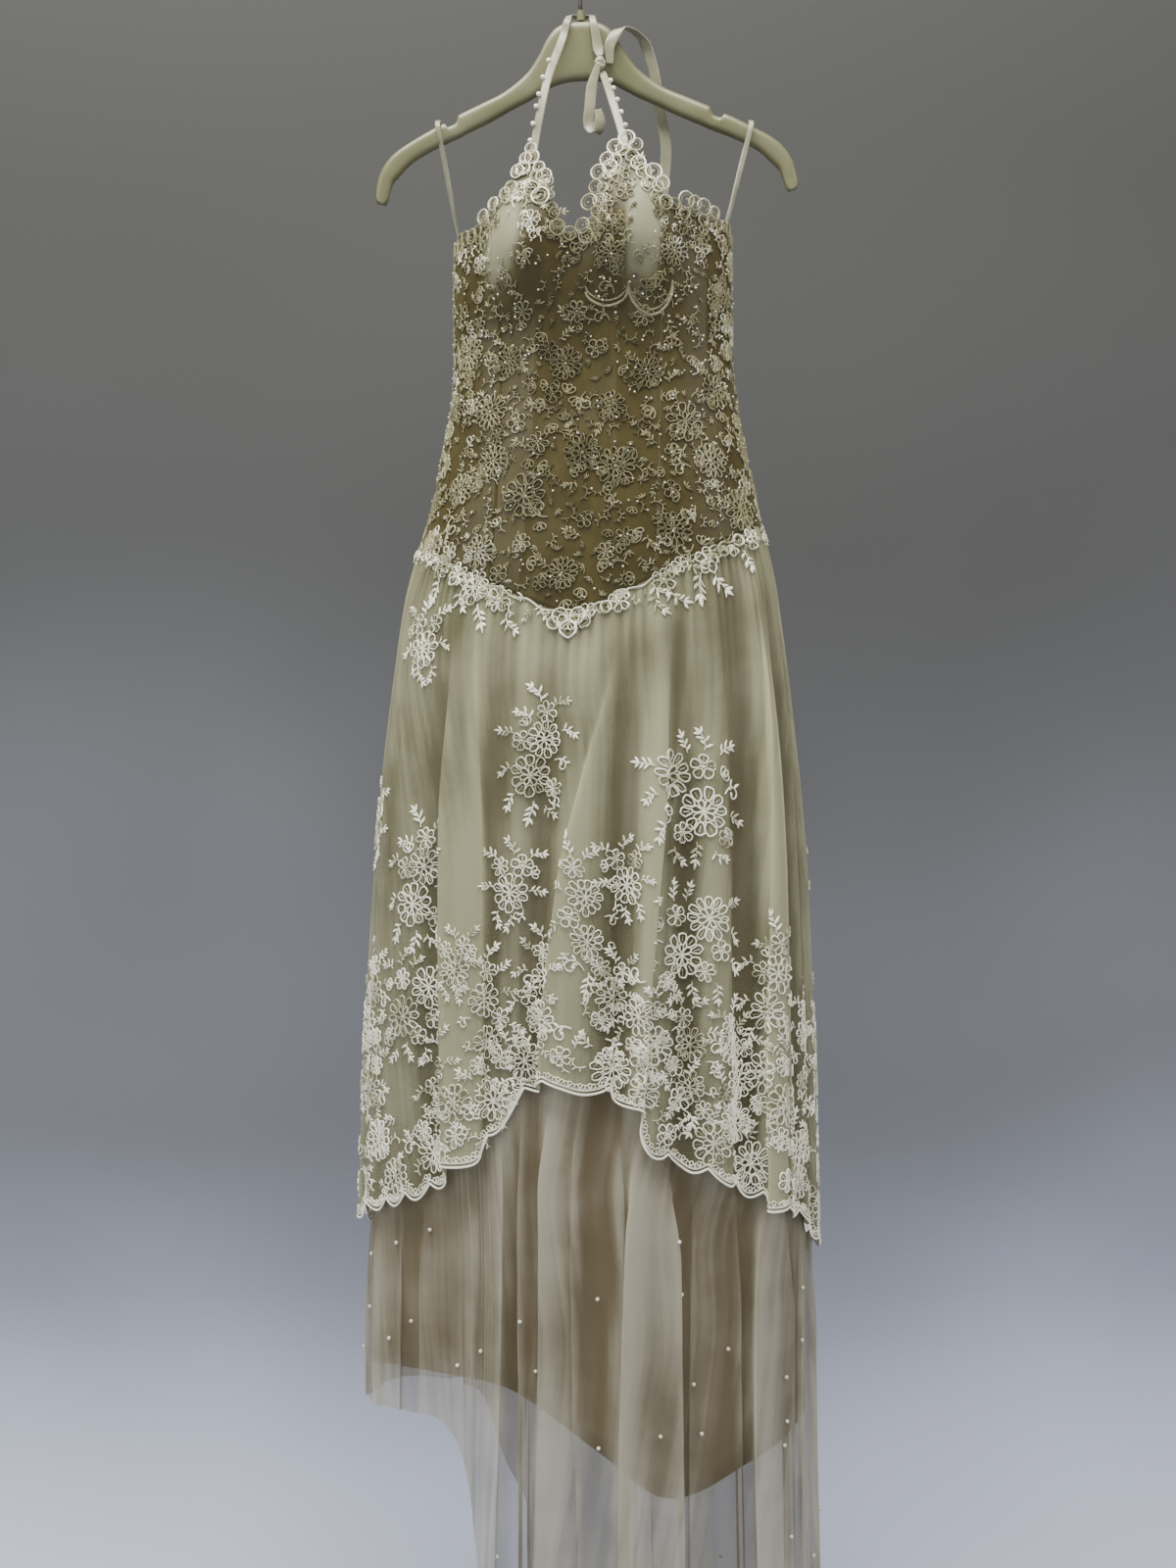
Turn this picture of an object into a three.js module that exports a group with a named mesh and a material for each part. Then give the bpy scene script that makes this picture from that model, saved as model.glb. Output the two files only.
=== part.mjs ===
// A halter-neck wedding dress hanging on a moulded hanger: a boned lace bodice with a pointed waist,
// a lace-hemmed tulle overskirt that rises at the front, a longer sheer underskirt and an opaque lining.
// Millimetres, +Z up, the front faces -Y. The origin is the seat of the hanger's hook, on its rail.
import * as THREE from "three";

const radians = THREE.MathUtils.degToRad;
const lerp = THREE.MathUtils.lerp;
const smoothstep = THREE.MathUtils.smoothstep;
const clamp = THREE.MathUtils.clamp;

// Driving dimensions. "down" is a distance below the seat of the hook.
const BODICE_WALL = 2.4;
const LINING_WALL = 1.3;
const TULLE_WALL = 1.1;
const LACE_WALL = 1.3;
const LAYER_GAP = 1.2;
const SEAM_GAP = 0.3;
const LACE_LIFT = 0.8;
const NECK_LIFT = 1.3;
const ROW_CROWDING = 1.6;
const FRONT_COLUMNS = 52;
const BACK_COLUMNS = 32;
const APPLIQUE_RISE = 2.0;
const RIBBON_WALL = 1.0;
const DRESS_TURN = -10;
const DRESS_SHIFT = 15;
const WAIST_SIDE = 606;
const WAIST_POINT = 87;
const WAIST_BACK_POINT = 34;
const SKIRT_FOOT = 1500;

// The hollow body that the panels are cut to: half of its width, its depth before and behind the side
// seams, how square its section is, how much higher its +X side hangs, and how far it leans to +X.
const SECTIONS = [
  { down: 205, half: 134, front: 76, back: 56, square: 2.4, tilt: 0.05, lean: 0 },
  { down: 300, half: 137, front: 88, back: 60, square: 2.4, tilt: 0.05, lean: 0 },
  { down: 360, half: 139, front: 88, back: 64, square: 2.4, tilt: 0.05, lean: 0 },
  { down: 410, half: 139, front: 82, back: 64, square: 2.4, tilt: 0.045, lean: 0 },
  { down: 460, half: 142, front: 84, back: 62, square: 2.4, tilt: 0.04, lean: 0 },
  { down: 520, half: 152, front: 92, back: 68, square: 2.35, tilt: 0.035, lean: 0 },
  { down: 575, half: 163, front: 99, back: 76, square: 2.3, tilt: 0.03, lean: 0 },
  { down: 620, half: 175, front: 104, back: 84, square: 2.25, tilt: 0.03, lean: -2 },
  { down: 690, half: 187, front: 110, back: 90, square: 2.2, tilt: 0.02, lean: -4 },
  { down: 760, half: 195, front: 116, back: 96, square: 2.15, tilt: 0.01, lean: -4.5 },
  { down: 860, half: 203, front: 121, back: 100, square: 2.1, tilt: 0, lean: -5 },
  { down: 1060, half: 213, front: 128, back: 107, square: 2.1, tilt: 0, lean: -5.5 },
  { down: 1300, half: 219, front: 134, back: 114, square: 2.1, tilt: 0, lean: -5.5 },
  { down: 1500, half: 220, front: 137, back: 119, square: 2.1, tilt: 0, lean: -5.5 },
  { down: 1780, half: 226, front: 141, back: 129, square: 2.1, tilt: 0, lean: -5.5 },
];

// The top edge of the bodice, the same on both sides: two tall points beside a deep dip.
const NECKLINE = [
  { angle: 0, down: 319 },
  { angle: 2.5, down: 317 },
  { angle: 5, down: 307 },
  { angle: 7, down: 285 },
  { angle: 9.2, down: 262 },
  { angle: 12.3, down: 244 },
  { angle: 16.4, down: 235 },
  { angle: 19.8, down: 243 },
  { angle: 24.4, down: 262 },
  { angle: 30.3, down: 280 },
  { angle: 36.8, down: 293 },
  { angle: 57.7, down: 303 },
  { angle: 90, down: 312 },
  { angle: 130, down: 328 },
  { angle: 180, down: 340 },
];

// The hems, by angle from the front, with the side seams at -90 and 90 degrees.
const OVERSKIRT_HEM = [
  { angle: -90, down: 1300 },
  { angle: -55, down: 1272 },
  { angle: -33, down: 1246 },
  { angle: -18, down: 1200 },
  { angle: -8, down: 1150 },
  { angle: 4, down: 1146 },
  { angle: 15, down: 1164 },
  { angle: 24, down: 1206 },
  { angle: 45, down: 1242 },
  { angle: 90, down: 1300 },
  { angle: 180, down: 1400 },
  { angle: 270, down: 1300 },
];
const UNDERSKIRT_HEM = [
  { angle: -90, down: 1486 },
  { angle: -45, down: 1480 },
  { angle: -28, down: 1496 },
  { angle: -22, down: 1592 },
  { angle: -16, down: 1700 },
  { angle: 30, down: 1732 },
  { angle: 90, down: 1726 },
  { angle: 180, down: 1764 },
  { angle: 198, down: 1740 },
  { angle: 206, down: 1620 },
  { angle: 216, down: 1510 },
  { angle: 270, down: 1486 },
];
const LINING_HEM = [
  { angle: -90, down: 1452 },
  { angle: -50, down: 1438 },
  { angle: -14, down: 1444 },
  { angle: 8, down: 1500 },
  { angle: 26, down: 1546 },
  { angle: 55, down: 1512 },
  { angle: 90, down: 1488 },
  { angle: 180, down: 1505 },
  { angle: 270, down: 1452 },
];

// Folds that stand out of a skirt layer: angles at the waist and at the foot, width and depth of the ridge.
const LINING_FOLDS = [
  { top: -66, foot: -70, wide: 10, deep: 4 },
  { top: -24, foot: -30, wide: 9, deep: 5 },
  { top: 20, foot: 14, wide: 9, deep: 5 },
  { top: 62, foot: 56, wide: 10, deep: 4 },
  { top: 112, foot: 110, wide: 11, deep: 5 },
  { top: 160, foot: 162, wide: 11, deep: 6 },
  { top: 205, foot: 206, wide: 11, deep: 6 },
  { top: 248, foot: 250, wide: 10, deep: 5 },
];
const UNDERSKIRT_FOLDS = [
  { top: -55, foot: -57, wide: 8, deep: 6 },
  { top: -9, foot: -15, wide: 6, deep: 9 },
  { top: 3, foot: -2, wide: 6, deep: 9 },
  { top: 25, foot: 19, wide: 7, deep: 10 },
  { top: 41, foot: 36, wide: 8, deep: 6 },
  { top: 63, foot: 58, wide: 7, deep: 10 },
  { top: 104, foot: 106, wide: 8, deep: 8 },
  { top: 131, foot: 134, wide: 9, deep: 11 },
  { top: 158, foot: 157, wide: 8, deep: 13 },
  { top: 184, foot: 186, wide: 9, deep: 14 },
  { top: 212, foot: 215, wide: 8, deep: 12 },
  { top: 240, foot: 243, wide: 9, deep: 9 },
];
const OVERSKIRT_FOLDS = [
  { top: -72, foot: -76, wide: 9, deep: 5 },
  { top: -48, foot: -43, wide: 11, deep: 8 },
  { top: -27, foot: -22, wide: 7, deep: 8 },
  { top: 9, foot: -1, wide: 7.5, deep: 11 },
  { top: 26, foot: 19, wide: 7, deep: 7 },
  { top: 41, foot: 35, wide: 7.5, deep: 9 },
  { top: 64, foot: 57, wide: 7, deep: 9 },
  { top: 77, foot: 70, wide: 7, deep: 6 },
  { top: 103, foot: 100, wide: 8, deep: 6 },
  { top: 122, foot: 121, wide: 7, deep: 8 },
  { top: 143, foot: 146, wide: 8, deep: 9 },
  { top: 168, foot: 170, wide: 8, deep: 10 },
  { top: 190, foot: 193, wide: 7, deep: 9 },
  { top: 216, foot: 214, wide: 8, deep: 9 },
  { top: 240, foot: 238, wide: 7, deep: 7 },
];
const FOLD_AT_WAIST = 0.15;
const FOLD_FULL_SHARE = 0.4;
const FOLD_WIDTH_AT_WAIST = 0.75;

// Bust cups: where each one swells from the front panel, how far, and how wide it is across, above and below.
const CUP = { across: 50, down: 318, rise: 20, wide: 36, above: 62, below: 44 };

// Seams between the front panel and the side panels, as an angle either side of the front.
const PRINCESS_SEAM = [
  { down: 280, angle: 35 },
  { down: 680, angle: 23 },
];

// Lace sprays sewn on the cloth: place, reach, petals of the flower and the directions of two sprigs.
const SKIRT_SPRAYS = [
  { angle: -51.8, down: 714, reach: 33, petals: 6, lift: 0.8, sprigs: [50, 260] },
  { angle: -7.7, down: 828, reach: 33, petals: 6, lift: 1, sprigs: [75, 235] },
  { angle: 30, down: 858, reach: 33, petals: 6, lift: 3.4, sprigs: [70, 190] },
  { angle: 36.1, down: 905, reach: 33, petals: 6, lift: 2.4, sprigs: [350, 250] },
  { angle: -44.6, down: 960, reach: 33, petals: 6, lift: 0.8, sprigs: [35, 300] },
  { angle: -14.7, down: 958, reach: 33, petals: 6, lift: 1.2, sprigs: [110, 280] },
  { angle: 13.4, down: 957, reach: 33, petals: 6, lift: 0.8, sprigs: [100, 320] },
  { angle: 31.7, down: 1014, reach: 33, petals: 6, lift: 2, sprigs: [80, 330] },
  { angle: 60.6, down: 1058, reach: 33, petals: 6, lift: 3.2, sprigs: [95, 330] },
  { angle: -26.6, down: 1035, reach: 33, petals: 6, lift: 1.4, sprigs: [90, 240] },
  { angle: 10.5, down: 1063, reach: 33, petals: 6, lift: 1.4, sprigs: [60, 200] },
  { angle: 43.8, down: 1128, reach: 33, petals: 6, lift: 2.2, sprigs: [100, 300] },
  { angle: 132, down: 1130, reach: 33, petals: 6, lift: 0.8, sprigs: [70, 250] },
  { angle: 182, down: 1210, reach: 33, petals: 6, lift: 1, sprigs: [60, 230] },
  { angle: 230, down: 1130, reach: 33, petals: 6, lift: 1.4, sprigs: [110, 280] },
];
const BODICE_SPRAYS = [
  { angle: 0, down: 505, reach: 38, petals: 6, lift: 0.8, sprigs: [40, 220] },
  { angle: -15, down: 592, reach: 30, petals: 6, lift: 0.8, sprigs: [120, 300] },
  { angle: 15, down: 592, reach: 30, petals: 6, lift: 0.8, sprigs: [60, 240] },
];
const SPRAY_SAMPLES_A_PETAL = 4;
const FLOWER = { share: 0.62, petal: 0.12 };
const SPRIG = { share: 0.34, point: 14 };
const SPRAY_RINGS = [0.55, 1];
const RIM_FALL = 0.45;

// Lace edgings: depth on the cloth, and the pitch in degrees and height of the scallops beyond its edge.
const NECK_LACE = { depth: 15, pitch: 4.5, height: 7 };
const WAIST_LACE = { above: 14, below: 9, pitch: 7.5, height: 9 };
const HEM_LACE = { depth: 46, pitch: 9, height: 11 };

const RIBBON = { wide: 11, knotWide: 7, loopWide: 5 };
const STRAP_INSET = 1.4;
const LOOP_INSETS = [1.2, 2.8];
const LOOP_SEAM = { angle: 88, sewn: 14, clear: 12 };
const LOOP_ON_ARM = { gap: 1.2, drop: 26, turn: 2, rise: 2.5 };
const ZIP_HALF_WIDTH = 7;
const ZIP_LIFT = 0.95;
const ZIP_CLEARANCE = 6;
const ZIP_ABOVE_WAIST = 20;
const ZIP_BELOW_TOP = 3;

// The hanger: upper and lower edge of one arm, from the middle outwards.
const HANGER_DEPTH = 8;
const HANGER_EDGE = 2.5;
const HANGER_TOP = [
  { across: 0, down: 80 },
  { across: 15, down: 81 },
  { across: 27, down: 87 },
  { across: 36, down: 98 },
  { across: 44, down: 113 },
  { across: 57, down: 131 },
  { across: 80, down: 149 },
  { across: 128, down: 171 },
];
const HANGER_NOTCH = [
  { across: 131, down: 180 },
  { across: 141, down: 183 },
  { across: 144, down: 179 },
];
const HANGER_END = [
  { across: 176, down: 196 },
  { across: 200, down: 212 },
  { across: 212, down: 232 },
  { across: 216, down: 252 },
  { across: 211, down: 262 },
];
const HANGER_BELOW = [
  { across: 203, down: 259 },
  { across: 197, down: 240 },
  { across: 181, down: 222 },
  { across: 160, down: 209 },
  { across: 136, down: 198 },
  { across: 96, down: 180 },
  { across: 58, down: 161 },
  { across: 29, down: 145 },
  { across: 12, down: 141.5 },
  { across: 0, down: 141 },
];
const HANGER_TILT = 2;
const COLLAR = { radius: 4.5, top: 69, foot: 79.7 };
const HOOK = { wire: 1.9, inside: 18, neck: 44, stemTop: 54, stemFoot: 68.7, tip: 205, bend: -52, step: 20 };
const KNOT = { x: 22, y: -13.5, down: 127, wide: 6, deep: 5, tall: 8 };

const LOOKS = {
  satin: new THREE.MeshStandardMaterial({ color: 0xb9b08c, roughness: 0.55 }),
  tulle: new THREE.MeshStandardMaterial({ color: 0xc6c0a4, roughness: 0.8 }),
  lining: new THREE.MeshStandardMaterial({ color: 0x9c8f70, roughness: 0.6 }),
  lace: new THREE.MeshStandardMaterial({ color: 0xe4e0cc, roughness: 0.7 }),
  ribbon: new THREE.MeshStandardMaterial({ color: 0xd6d0b4, roughness: 0.45 }),
  plastic: new THREE.MeshStandardMaterial({ color: 0xc4c2a6, roughness: 0.4 }),
  steel: new THREE.MeshStandardMaterial({ color: 0x2a2724, roughness: 0.35, metalness: 0.9 }),
};

// Half of a seam's gap, as an angle on a body about this deep.
const BODY_RADIUS = 130;
const SEAM_ANGLE = THREE.MathUtils.radToDeg(SEAM_GAP / 2 / BODY_RADIUS);

// A column of a table at a place between its rows, on a smooth curve through them.
function along(table, key, place, column) {
  const last = table.length - 1;
  let i = 0;
  while (i < last - 1 && table[i + 1][key] < place) i += 1;
  const a = table[i];
  const b = table[i + 1];
  const before = table[Math.max(i - 1, 0)];
  const after = table[Math.min(i + 2, last)];
  const span = b[key] - a[key];
  const t = clamp((place - a[key]) / span, 0, 1);
  const slopeA = (span * (b[column] - before[column])) / (b[key] - before[key]);
  const slopeB = (span * (after[column] - a[column])) / (after[key] - a[key]);
  const t2 = t * t;
  const t3 = t2 * t;
  return (
    (2 * t3 - 3 * t2 + 1) * a[column] +
    (t3 - 2 * t2 + t) * slopeA +
    (3 * t2 - 2 * t3) * b[column] +
    (t3 - t2) * slopeB
  );
}

// A point of the garment: an angle from the front, a distance down, and a distance out from the hollow body.
function onBody(angle, down, out) {
  const s = Math.sin(radians(angle));
  const c = Math.cos(radians(angle));
  const half = along(SECTIONS, "down", down, "half");
  const depth = along(SECTIONS, "down", down, c > 0 ? "front" : "back");
  const power = 2 / along(SECTIONS, "down", down, "square");
  const x = half * Math.sign(s) * Math.abs(s) ** power;
  const y = -depth * Math.sign(c) * Math.abs(c) ** power;
  const normal = new THREE.Vector3(
    (Math.sign(s) * Math.abs(s) ** (2 - power)) / half,
    (-Math.sign(c) * Math.abs(c) ** (2 - power)) / depth,
    0,
  ).normalize();
  const z = x * along(SECTIONS, "down", down, "tilt") - down;
  const lean = along(SECTIONS, "down", down, "lean");
  return new THREE.Vector3(x + lean, y, z).addScaledVector(normal, out);
}

// How far the cups stand out of the front of the bodice.
function cupRise(angle, down) {
  const flat = onBody(angle, down, 0);
  if (flat.y > 0) return 0;
  const across = (Math.abs(flat.x) - CUP.across) / CUP.wide;
  const height = (down - CUP.down) / (down < CUP.down ? CUP.above : CUP.below);
  return CUP.rise * Math.exp(-across * across - height * height);
}

function onBodice(angle, down, out) {
  return onBody(angle, down, out + cupRise(angle, down));
}

function necklineAt(angle) {
  const turned = Math.abs(angle > 180 ? 360 - angle : angle);
  return along(NECKLINE, "angle", turned, "down");
}

// The seam between bodice and skirt: a long point at the front and a shallow one behind.
function waistAt(angle) {
  const point = Math.cos(radians(angle)) > 0 ? WAIST_POINT : WAIST_BACK_POINT;
  return WAIST_SIDE + point * (1 - Math.abs(Math.sin(radians(angle))));
}

function foldsAt(table, angle, down) {
  const share = clamp((down - WAIST_SIDE) / (SKIRT_FOOT - WAIST_SIDE), 0, 1);
  const fullness = lerp(FOLD_AT_WAIST, 1, smoothstep(share, 0, FOLD_FULL_SHARE));
  let out = 0;
  for (const fold of table) {
    const wide = fold.wide * lerp(FOLD_WIDTH_AT_WAIST, 1, share);
    const away = (angle - lerp(fold.top, fold.foot, share)) / wide;
    out += fold.deep * fullness * Math.exp(-away * away);
  }
  return out;
}

// How far out the inside of each skirt layer lies. Each layer lies on the one below it.
function liningOut(angle, down) {
  return foldsAt(LINING_FOLDS, angle, down);
}

function underskirtOut(angle, down) {
  return liningOut(angle, down) + LINING_WALL + LAYER_GAP + foldsAt(UNDERSKIRT_FOLDS, angle, down);
}

function overskirtOut(angle, down) {
  return underskirtOut(angle, down) + TULLE_WALL + LAYER_GAP + foldsAt(OVERSKIRT_FOLDS, angle, down);
}

// A point on the overskirt, on the flat strips between its columns, lifted off its outside.
function onSkirt(angle, down, lift) {
  const from = angle < 90 ? -90 : 90;
  const columns = angle < 90 ? FRONT_COLUMNS : BACK_COLUMNS;
  const step = (180 - 2 * SEAM_ANGLE) / columns;
  const count = (angle - from - SEAM_ANGLE) / step;
  const column = clamp(Math.floor(count), 0, columns - 1);
  const at = (i) => {
    const turned = from + SEAM_ANGLE + i * step;
    return onBody(turned, down, overskirtOut(turned, down) + TULLE_WALL + lift);
  };
  return at(column).lerp(at(column + 1), count - column);
}

function named(name, geometry, material) {
  const mesh = new THREE.Mesh(geometry, material);
  mesh.name = name;
  return mesh;
}

// A closed body from a list of points and a list of triangles, turned to face out.
function body(points, triangles) {
  let volume = 0;
  for (const [a, b, c] of triangles) {
    volume += points[a].dot(new THREE.Vector3().crossVectors(points[b], points[c]));
  }
  const facing = volume > 0 ? triangles : triangles.map(([a, b, c]) => [a, c, b]);
  const geometry = new THREE.BufferGeometry().setFromPoints(points);
  geometry.setIndex(facing.flat());
  geometry.computeVertexNormals();
  return geometry;
}

// A closed wall on a grid. place(u, v, side) gives a point: u and v from 0 to 1, side 0 inside and 1 outside.
function wall(columns, rows, place) {
  const points = [];
  const triangles = [];
  const number = (i, j, side) => (side * (rows + 1) + j) * (columns + 1) + i;
  const quad = (a, b, c, d) => triangles.push([a, b, c], [a, c, d]);
  for (const side of [0, 1]) {
    for (let j = 0; j <= rows; j += 1) {
      for (let i = 0; i <= columns; i += 1) points.push(place(i / columns, j / rows, side));
    }
  }
  for (let j = 0; j < rows; j += 1) {
    for (let i = 0; i < columns; i += 1) {
      quad(number(i, j, 1), number(i + 1, j, 1), number(i + 1, j + 1, 1), number(i, j + 1, 1));
      quad(number(i, j, 0), number(i, j + 1, 0), number(i + 1, j + 1, 0), number(i + 1, j, 0));
    }
    quad(number(0, j, 0), number(0, j, 1), number(0, j + 1, 1), number(0, j + 1, 0));
    quad(number(columns, j, 1), number(columns, j, 0), number(columns, j + 1, 0), number(columns, j + 1, 1));
  }
  for (let i = 0; i < columns; i += 1) {
    quad(number(i, 0, 0), number(i + 1, 0, 0), number(i + 1, 0, 1), number(i, 0, 1));
    quad(number(i, rows, 1), number(i + 1, rows, 1), number(i + 1, rows, 0), number(i, rows, 0));
  }
  return body(points, triangles);
}

// The seams lean, so the place where a panel meets the waist is found in a few passes.
const SEAM_PASSES = 5;

// A bodice panel between two seams, each an angle that may change with the distance down.
function bodicePanel(name, columns, rows, leftSeam, rightSeam) {
  const place = (u, v, side) => {
    const angleAt = (down) =>
      lerp(leftSeam(down) + SEAM_ANGLE, rightSeam(down) - SEAM_ANGLE, u);
    let foot = WAIST_SIDE;
    for (let pass = 0; pass < SEAM_PASSES; pass += 1) foot = waistAt(angleAt(foot)) - SEAM_GAP;
    const top = necklineAt(angleAt(NECKLINE[0].down));
    const down = lerp(foot, top, v);
    return onBodice(angleAt(down), down, side * BODICE_WALL);
  };
  return named(name, wall(columns, rows, place), LOOKS.satin);
}

const princess = (down) => lerp(
  PRINCESS_SEAM[0].angle,
  PRINCESS_SEAM[1].angle,
  clamp((down - PRINCESS_SEAM[0].down) / (PRINCESS_SEAM[1].down - PRINCESS_SEAM[0].down), 0, 1),
);

function bodice() {
  const group = new THREE.Group();
  const at = (angle) => () => angle;
  group.add(
    bodicePanel("bodice_front", 26, 10, (down) => -princess(down), princess),
    bodicePanel("bodice_side_left", 10, 10, at(-90), (down) => -princess(down)),
    bodicePanel("bodice_side_right", 10, 10, princess, at(90)),
    bodicePanel("bodice_back_right", 9, 7, at(90), at(180)),
    bodicePanel("bodice_back_left", 9, 7, at(180), at(270)),
  );
  return group;
}

// A half of a skirt layer, from its hem to just under the waist seam.
function skirtPanel(name, layer, from, columns, rows) {
  const place = (u, v, side) => {
    const angle = lerp(from + SEAM_ANGLE, from + 180 - SEAM_ANGLE, u);
    const hem = along(layer.hem, "angle", angle, "down");
    const down = lerp(waistAt(angle) + SEAM_GAP, hem, (1 - v) ** ROW_CROWDING);
    return onBody(angle, down, layer.out(angle, down) + side * layer.wall);
  };
  return named(name, wall(columns, rows, place), layer.look);
}

const LINING = { out: liningOut, hem: LINING_HEM, wall: LINING_WALL, look: LOOKS.lining };
const UNDERSKIRT = { out: underskirtOut, hem: UNDERSKIRT_HEM, wall: TULLE_WALL, look: LOOKS.tulle };
const OVERSKIRT = { out: overskirtOut, hem: OVERSKIRT_HEM, wall: TULLE_WALL, look: LOOKS.tulle };

function skirts() {
  const group = new THREE.Group();
  group.add(
    skirtPanel("lining_front", LINING, -90, FRONT_COLUMNS / 2, 5),
    skirtPanel("lining_back", LINING, 90, BACK_COLUMNS / 2, 5),
    skirtPanel("underskirt_front", UNDERSKIRT, -90, FRONT_COLUMNS, 6),
    skirtPanel("underskirt_back", UNDERSKIRT, 90, BACK_COLUMNS, 6),
    skirtPanel("overskirt_front", OVERSKIRT, -90, FRONT_COLUMNS, 6),
    skirtPanel("overskirt_back", OVERSKIRT, 90, BACK_COLUMNS, 6),
  );
  return group;
}

// Lace edging: scallops along an edge, as a wave of round bows that meet in points.
function scallop(angle, pitch, height) {
  return height * Math.abs(Math.sin((Math.PI * angle) / pitch));
}

// A strip of lace that follows an edge, from a distance above it to a scalloped outline beyond it.
function laceStrip(name, from, to, columns, place) {
  const strip = (u, v, side) => place(lerp(from + SEAM_ANGLE, to - SEAM_ANGLE, u), v, side);
  return named(name, wall(columns, 1, strip), LOOKS.lace);
}

function neckLace() {
  const { depth, pitch, height } = NECK_LACE;
  const place = (angle, v, side) => {
    const down = necklineAt(angle) + lerp(depth, -scallop(angle, pitch, height), v);
    return onBodice(angle, down, BODICE_WALL + NECK_LIFT + side * LACE_WALL);
  };
  const group = new THREE.Group();
  const seam = PRINCESS_SEAM[0].angle;
  group.add(
    laceStrip("neck_lace_front", -seam, seam, 52, place),
    laceStrip("neck_lace_left", -90, -seam, 22, place),
    laceStrip("neck_lace_right", seam, 90, 22, place),
    laceStrip("neck_lace_back_right", 90, 180 - ZIP_CLEARANCE, 20, place),
    laceStrip("neck_lace_back_left", 180 + ZIP_CLEARANCE, 270, 20, place),
  );
  return group;
}

function waistLace() {
  const { above, below, pitch, height } = WAIST_LACE;
  const place = (angle, v, side) => {
    const down = waistAt(angle) + lerp(below + scallop(angle, pitch, height), -above, v);
    return onSkirt(angle, down, LACE_LIFT + side * LACE_WALL);
  };
  const group = new THREE.Group();
  group.add(
    laceStrip("waist_lace_front", -90, 90, FRONT_COLUMNS, place),
    laceStrip("waist_lace_back", 90, 270, BACK_COLUMNS, place),
  );
  return group;
}

function hemLace() {
  const { depth, pitch, height } = HEM_LACE;
  const place = (angle, v, side) => {
    const hem = along(OVERSKIRT_HEM, "angle", angle, "down");
    const down = hem + lerp(scallop(angle, pitch, height), -depth, v);
    return onSkirt(angle, down, LACE_LIFT + side * LACE_WALL);
  };
  const group = new THREE.Group();
  group.add(
    laceStrip("hem_lace_front", -90, 90, 2 * FRONT_COLUMNS, place),
    laceStrip("hem_lace_back", 90, 270, 2 * BACK_COLUMNS, place),
  );
  return group;
}

// The outline of a spray, in shares of its reach: a flower's petals, and two sprigs that reach further.
function sprayReach(turn, spray) {
  const petals = FLOWER.share + FLOWER.petal * Math.cos(radians(turn * spray.petals));
  const sprig = Math.max(...spray.sprigs.map((way) => Math.cos(radians(turn - way))));
  return petals + SPRIG.share * Math.max(0, sprig) ** SPRIG.point;
}

// A spray of lace, domed and closed, on a surface given by place(angle, down, lift).
function applique(name, spray, place) {
  const samples = spray.petals * SPRAY_SAMPLES_A_PETAL;
  const beside = (turn) => onBody(spray.angle + turn, spray.down, 0);
  const across = beside(0.5).distanceTo(beside(-0.5));
  const points = [];
  const triangles = [];
  for (const side of [0, 1]) {
    points.push(place(spray.angle, spray.down, spray.lift + side * APPLIQUE_RISE));
    for (const share of SPRAY_RINGS) {
      for (let k = 0; k < samples; k += 1) {
        const turn = (360 * k) / samples;
        const far = spray.reach * share * sprayReach(turn, spray);
        const angle = spray.angle + (far * Math.cos(radians(turn))) / across;
        const down = spray.down - far * Math.sin(radians(turn));
        points.push(place(angle, down, spray.lift + side * APPLIQUE_RISE * (1 - RIM_FALL * share)));
      }
    }
  }
  const half = points.length / 2;
  const number = (side, ring, k) => side * half + 1 + ring * samples + (k % samples);
  const rim = SPRAY_RINGS.length - 1;
  for (let k = 0; k < samples; k += 1) {
    for (const side of [0, 1]) {
      const face = (a, b, c) => triangles.push(side ? [a, b, c] : [a, c, b]);
      face(side * half, number(side, 0, k), number(side, 0, k + 1));
      for (let ring = 0; ring < rim; ring += 1) {
        face(number(side, ring, k), number(side, ring + 1, k), number(side, ring + 1, k + 1));
        face(number(side, ring, k), number(side, ring + 1, k + 1), number(side, ring, k + 1));
      }
    }
    triangles.push([number(0, rim, k), number(0, rim, k + 1), number(1, rim, k + 1)]);
    triangles.push([number(0, rim, k), number(1, rim, k + 1), number(1, rim, k)]);
  }
  return named(name, body(points, triangles), LOOKS.lace);
}

function sprays() {
  const group = new THREE.Group();
  const onFront = (angle, down, lift) => onBodice(angle, down, BODICE_WALL + lift);
  SKIRT_SPRAYS.forEach((spray, i) => group.add(applique(`skirt_spray_${i + 1}`, spray, onSkirt)));
  BODICE_SPRAYS.forEach((spray, i) => group.add(applique(`bodice_spray_${i + 1}`, spray, onFront)));
  return group;
}

// The lapped strip that covers the zip down the middle of the back.
function zipPlacket() {
  const place = (u, v, side) => {
    const down = lerp(waistAt(180) - ZIP_ABOVE_WAIST, NECKLINE.at(-1).down + ZIP_BELOW_TOP, v);
    const centre = onBodice(180, down, BODICE_WALL + ZIP_LIFT + side * LACE_WALL);
    return centre.setX(lerp(-ZIP_HALF_WIDTH, ZIP_HALF_WIDTH, u));
  };
  return named("zip_placket", wall(2, 8, place), LOOKS.satin);
}

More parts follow.
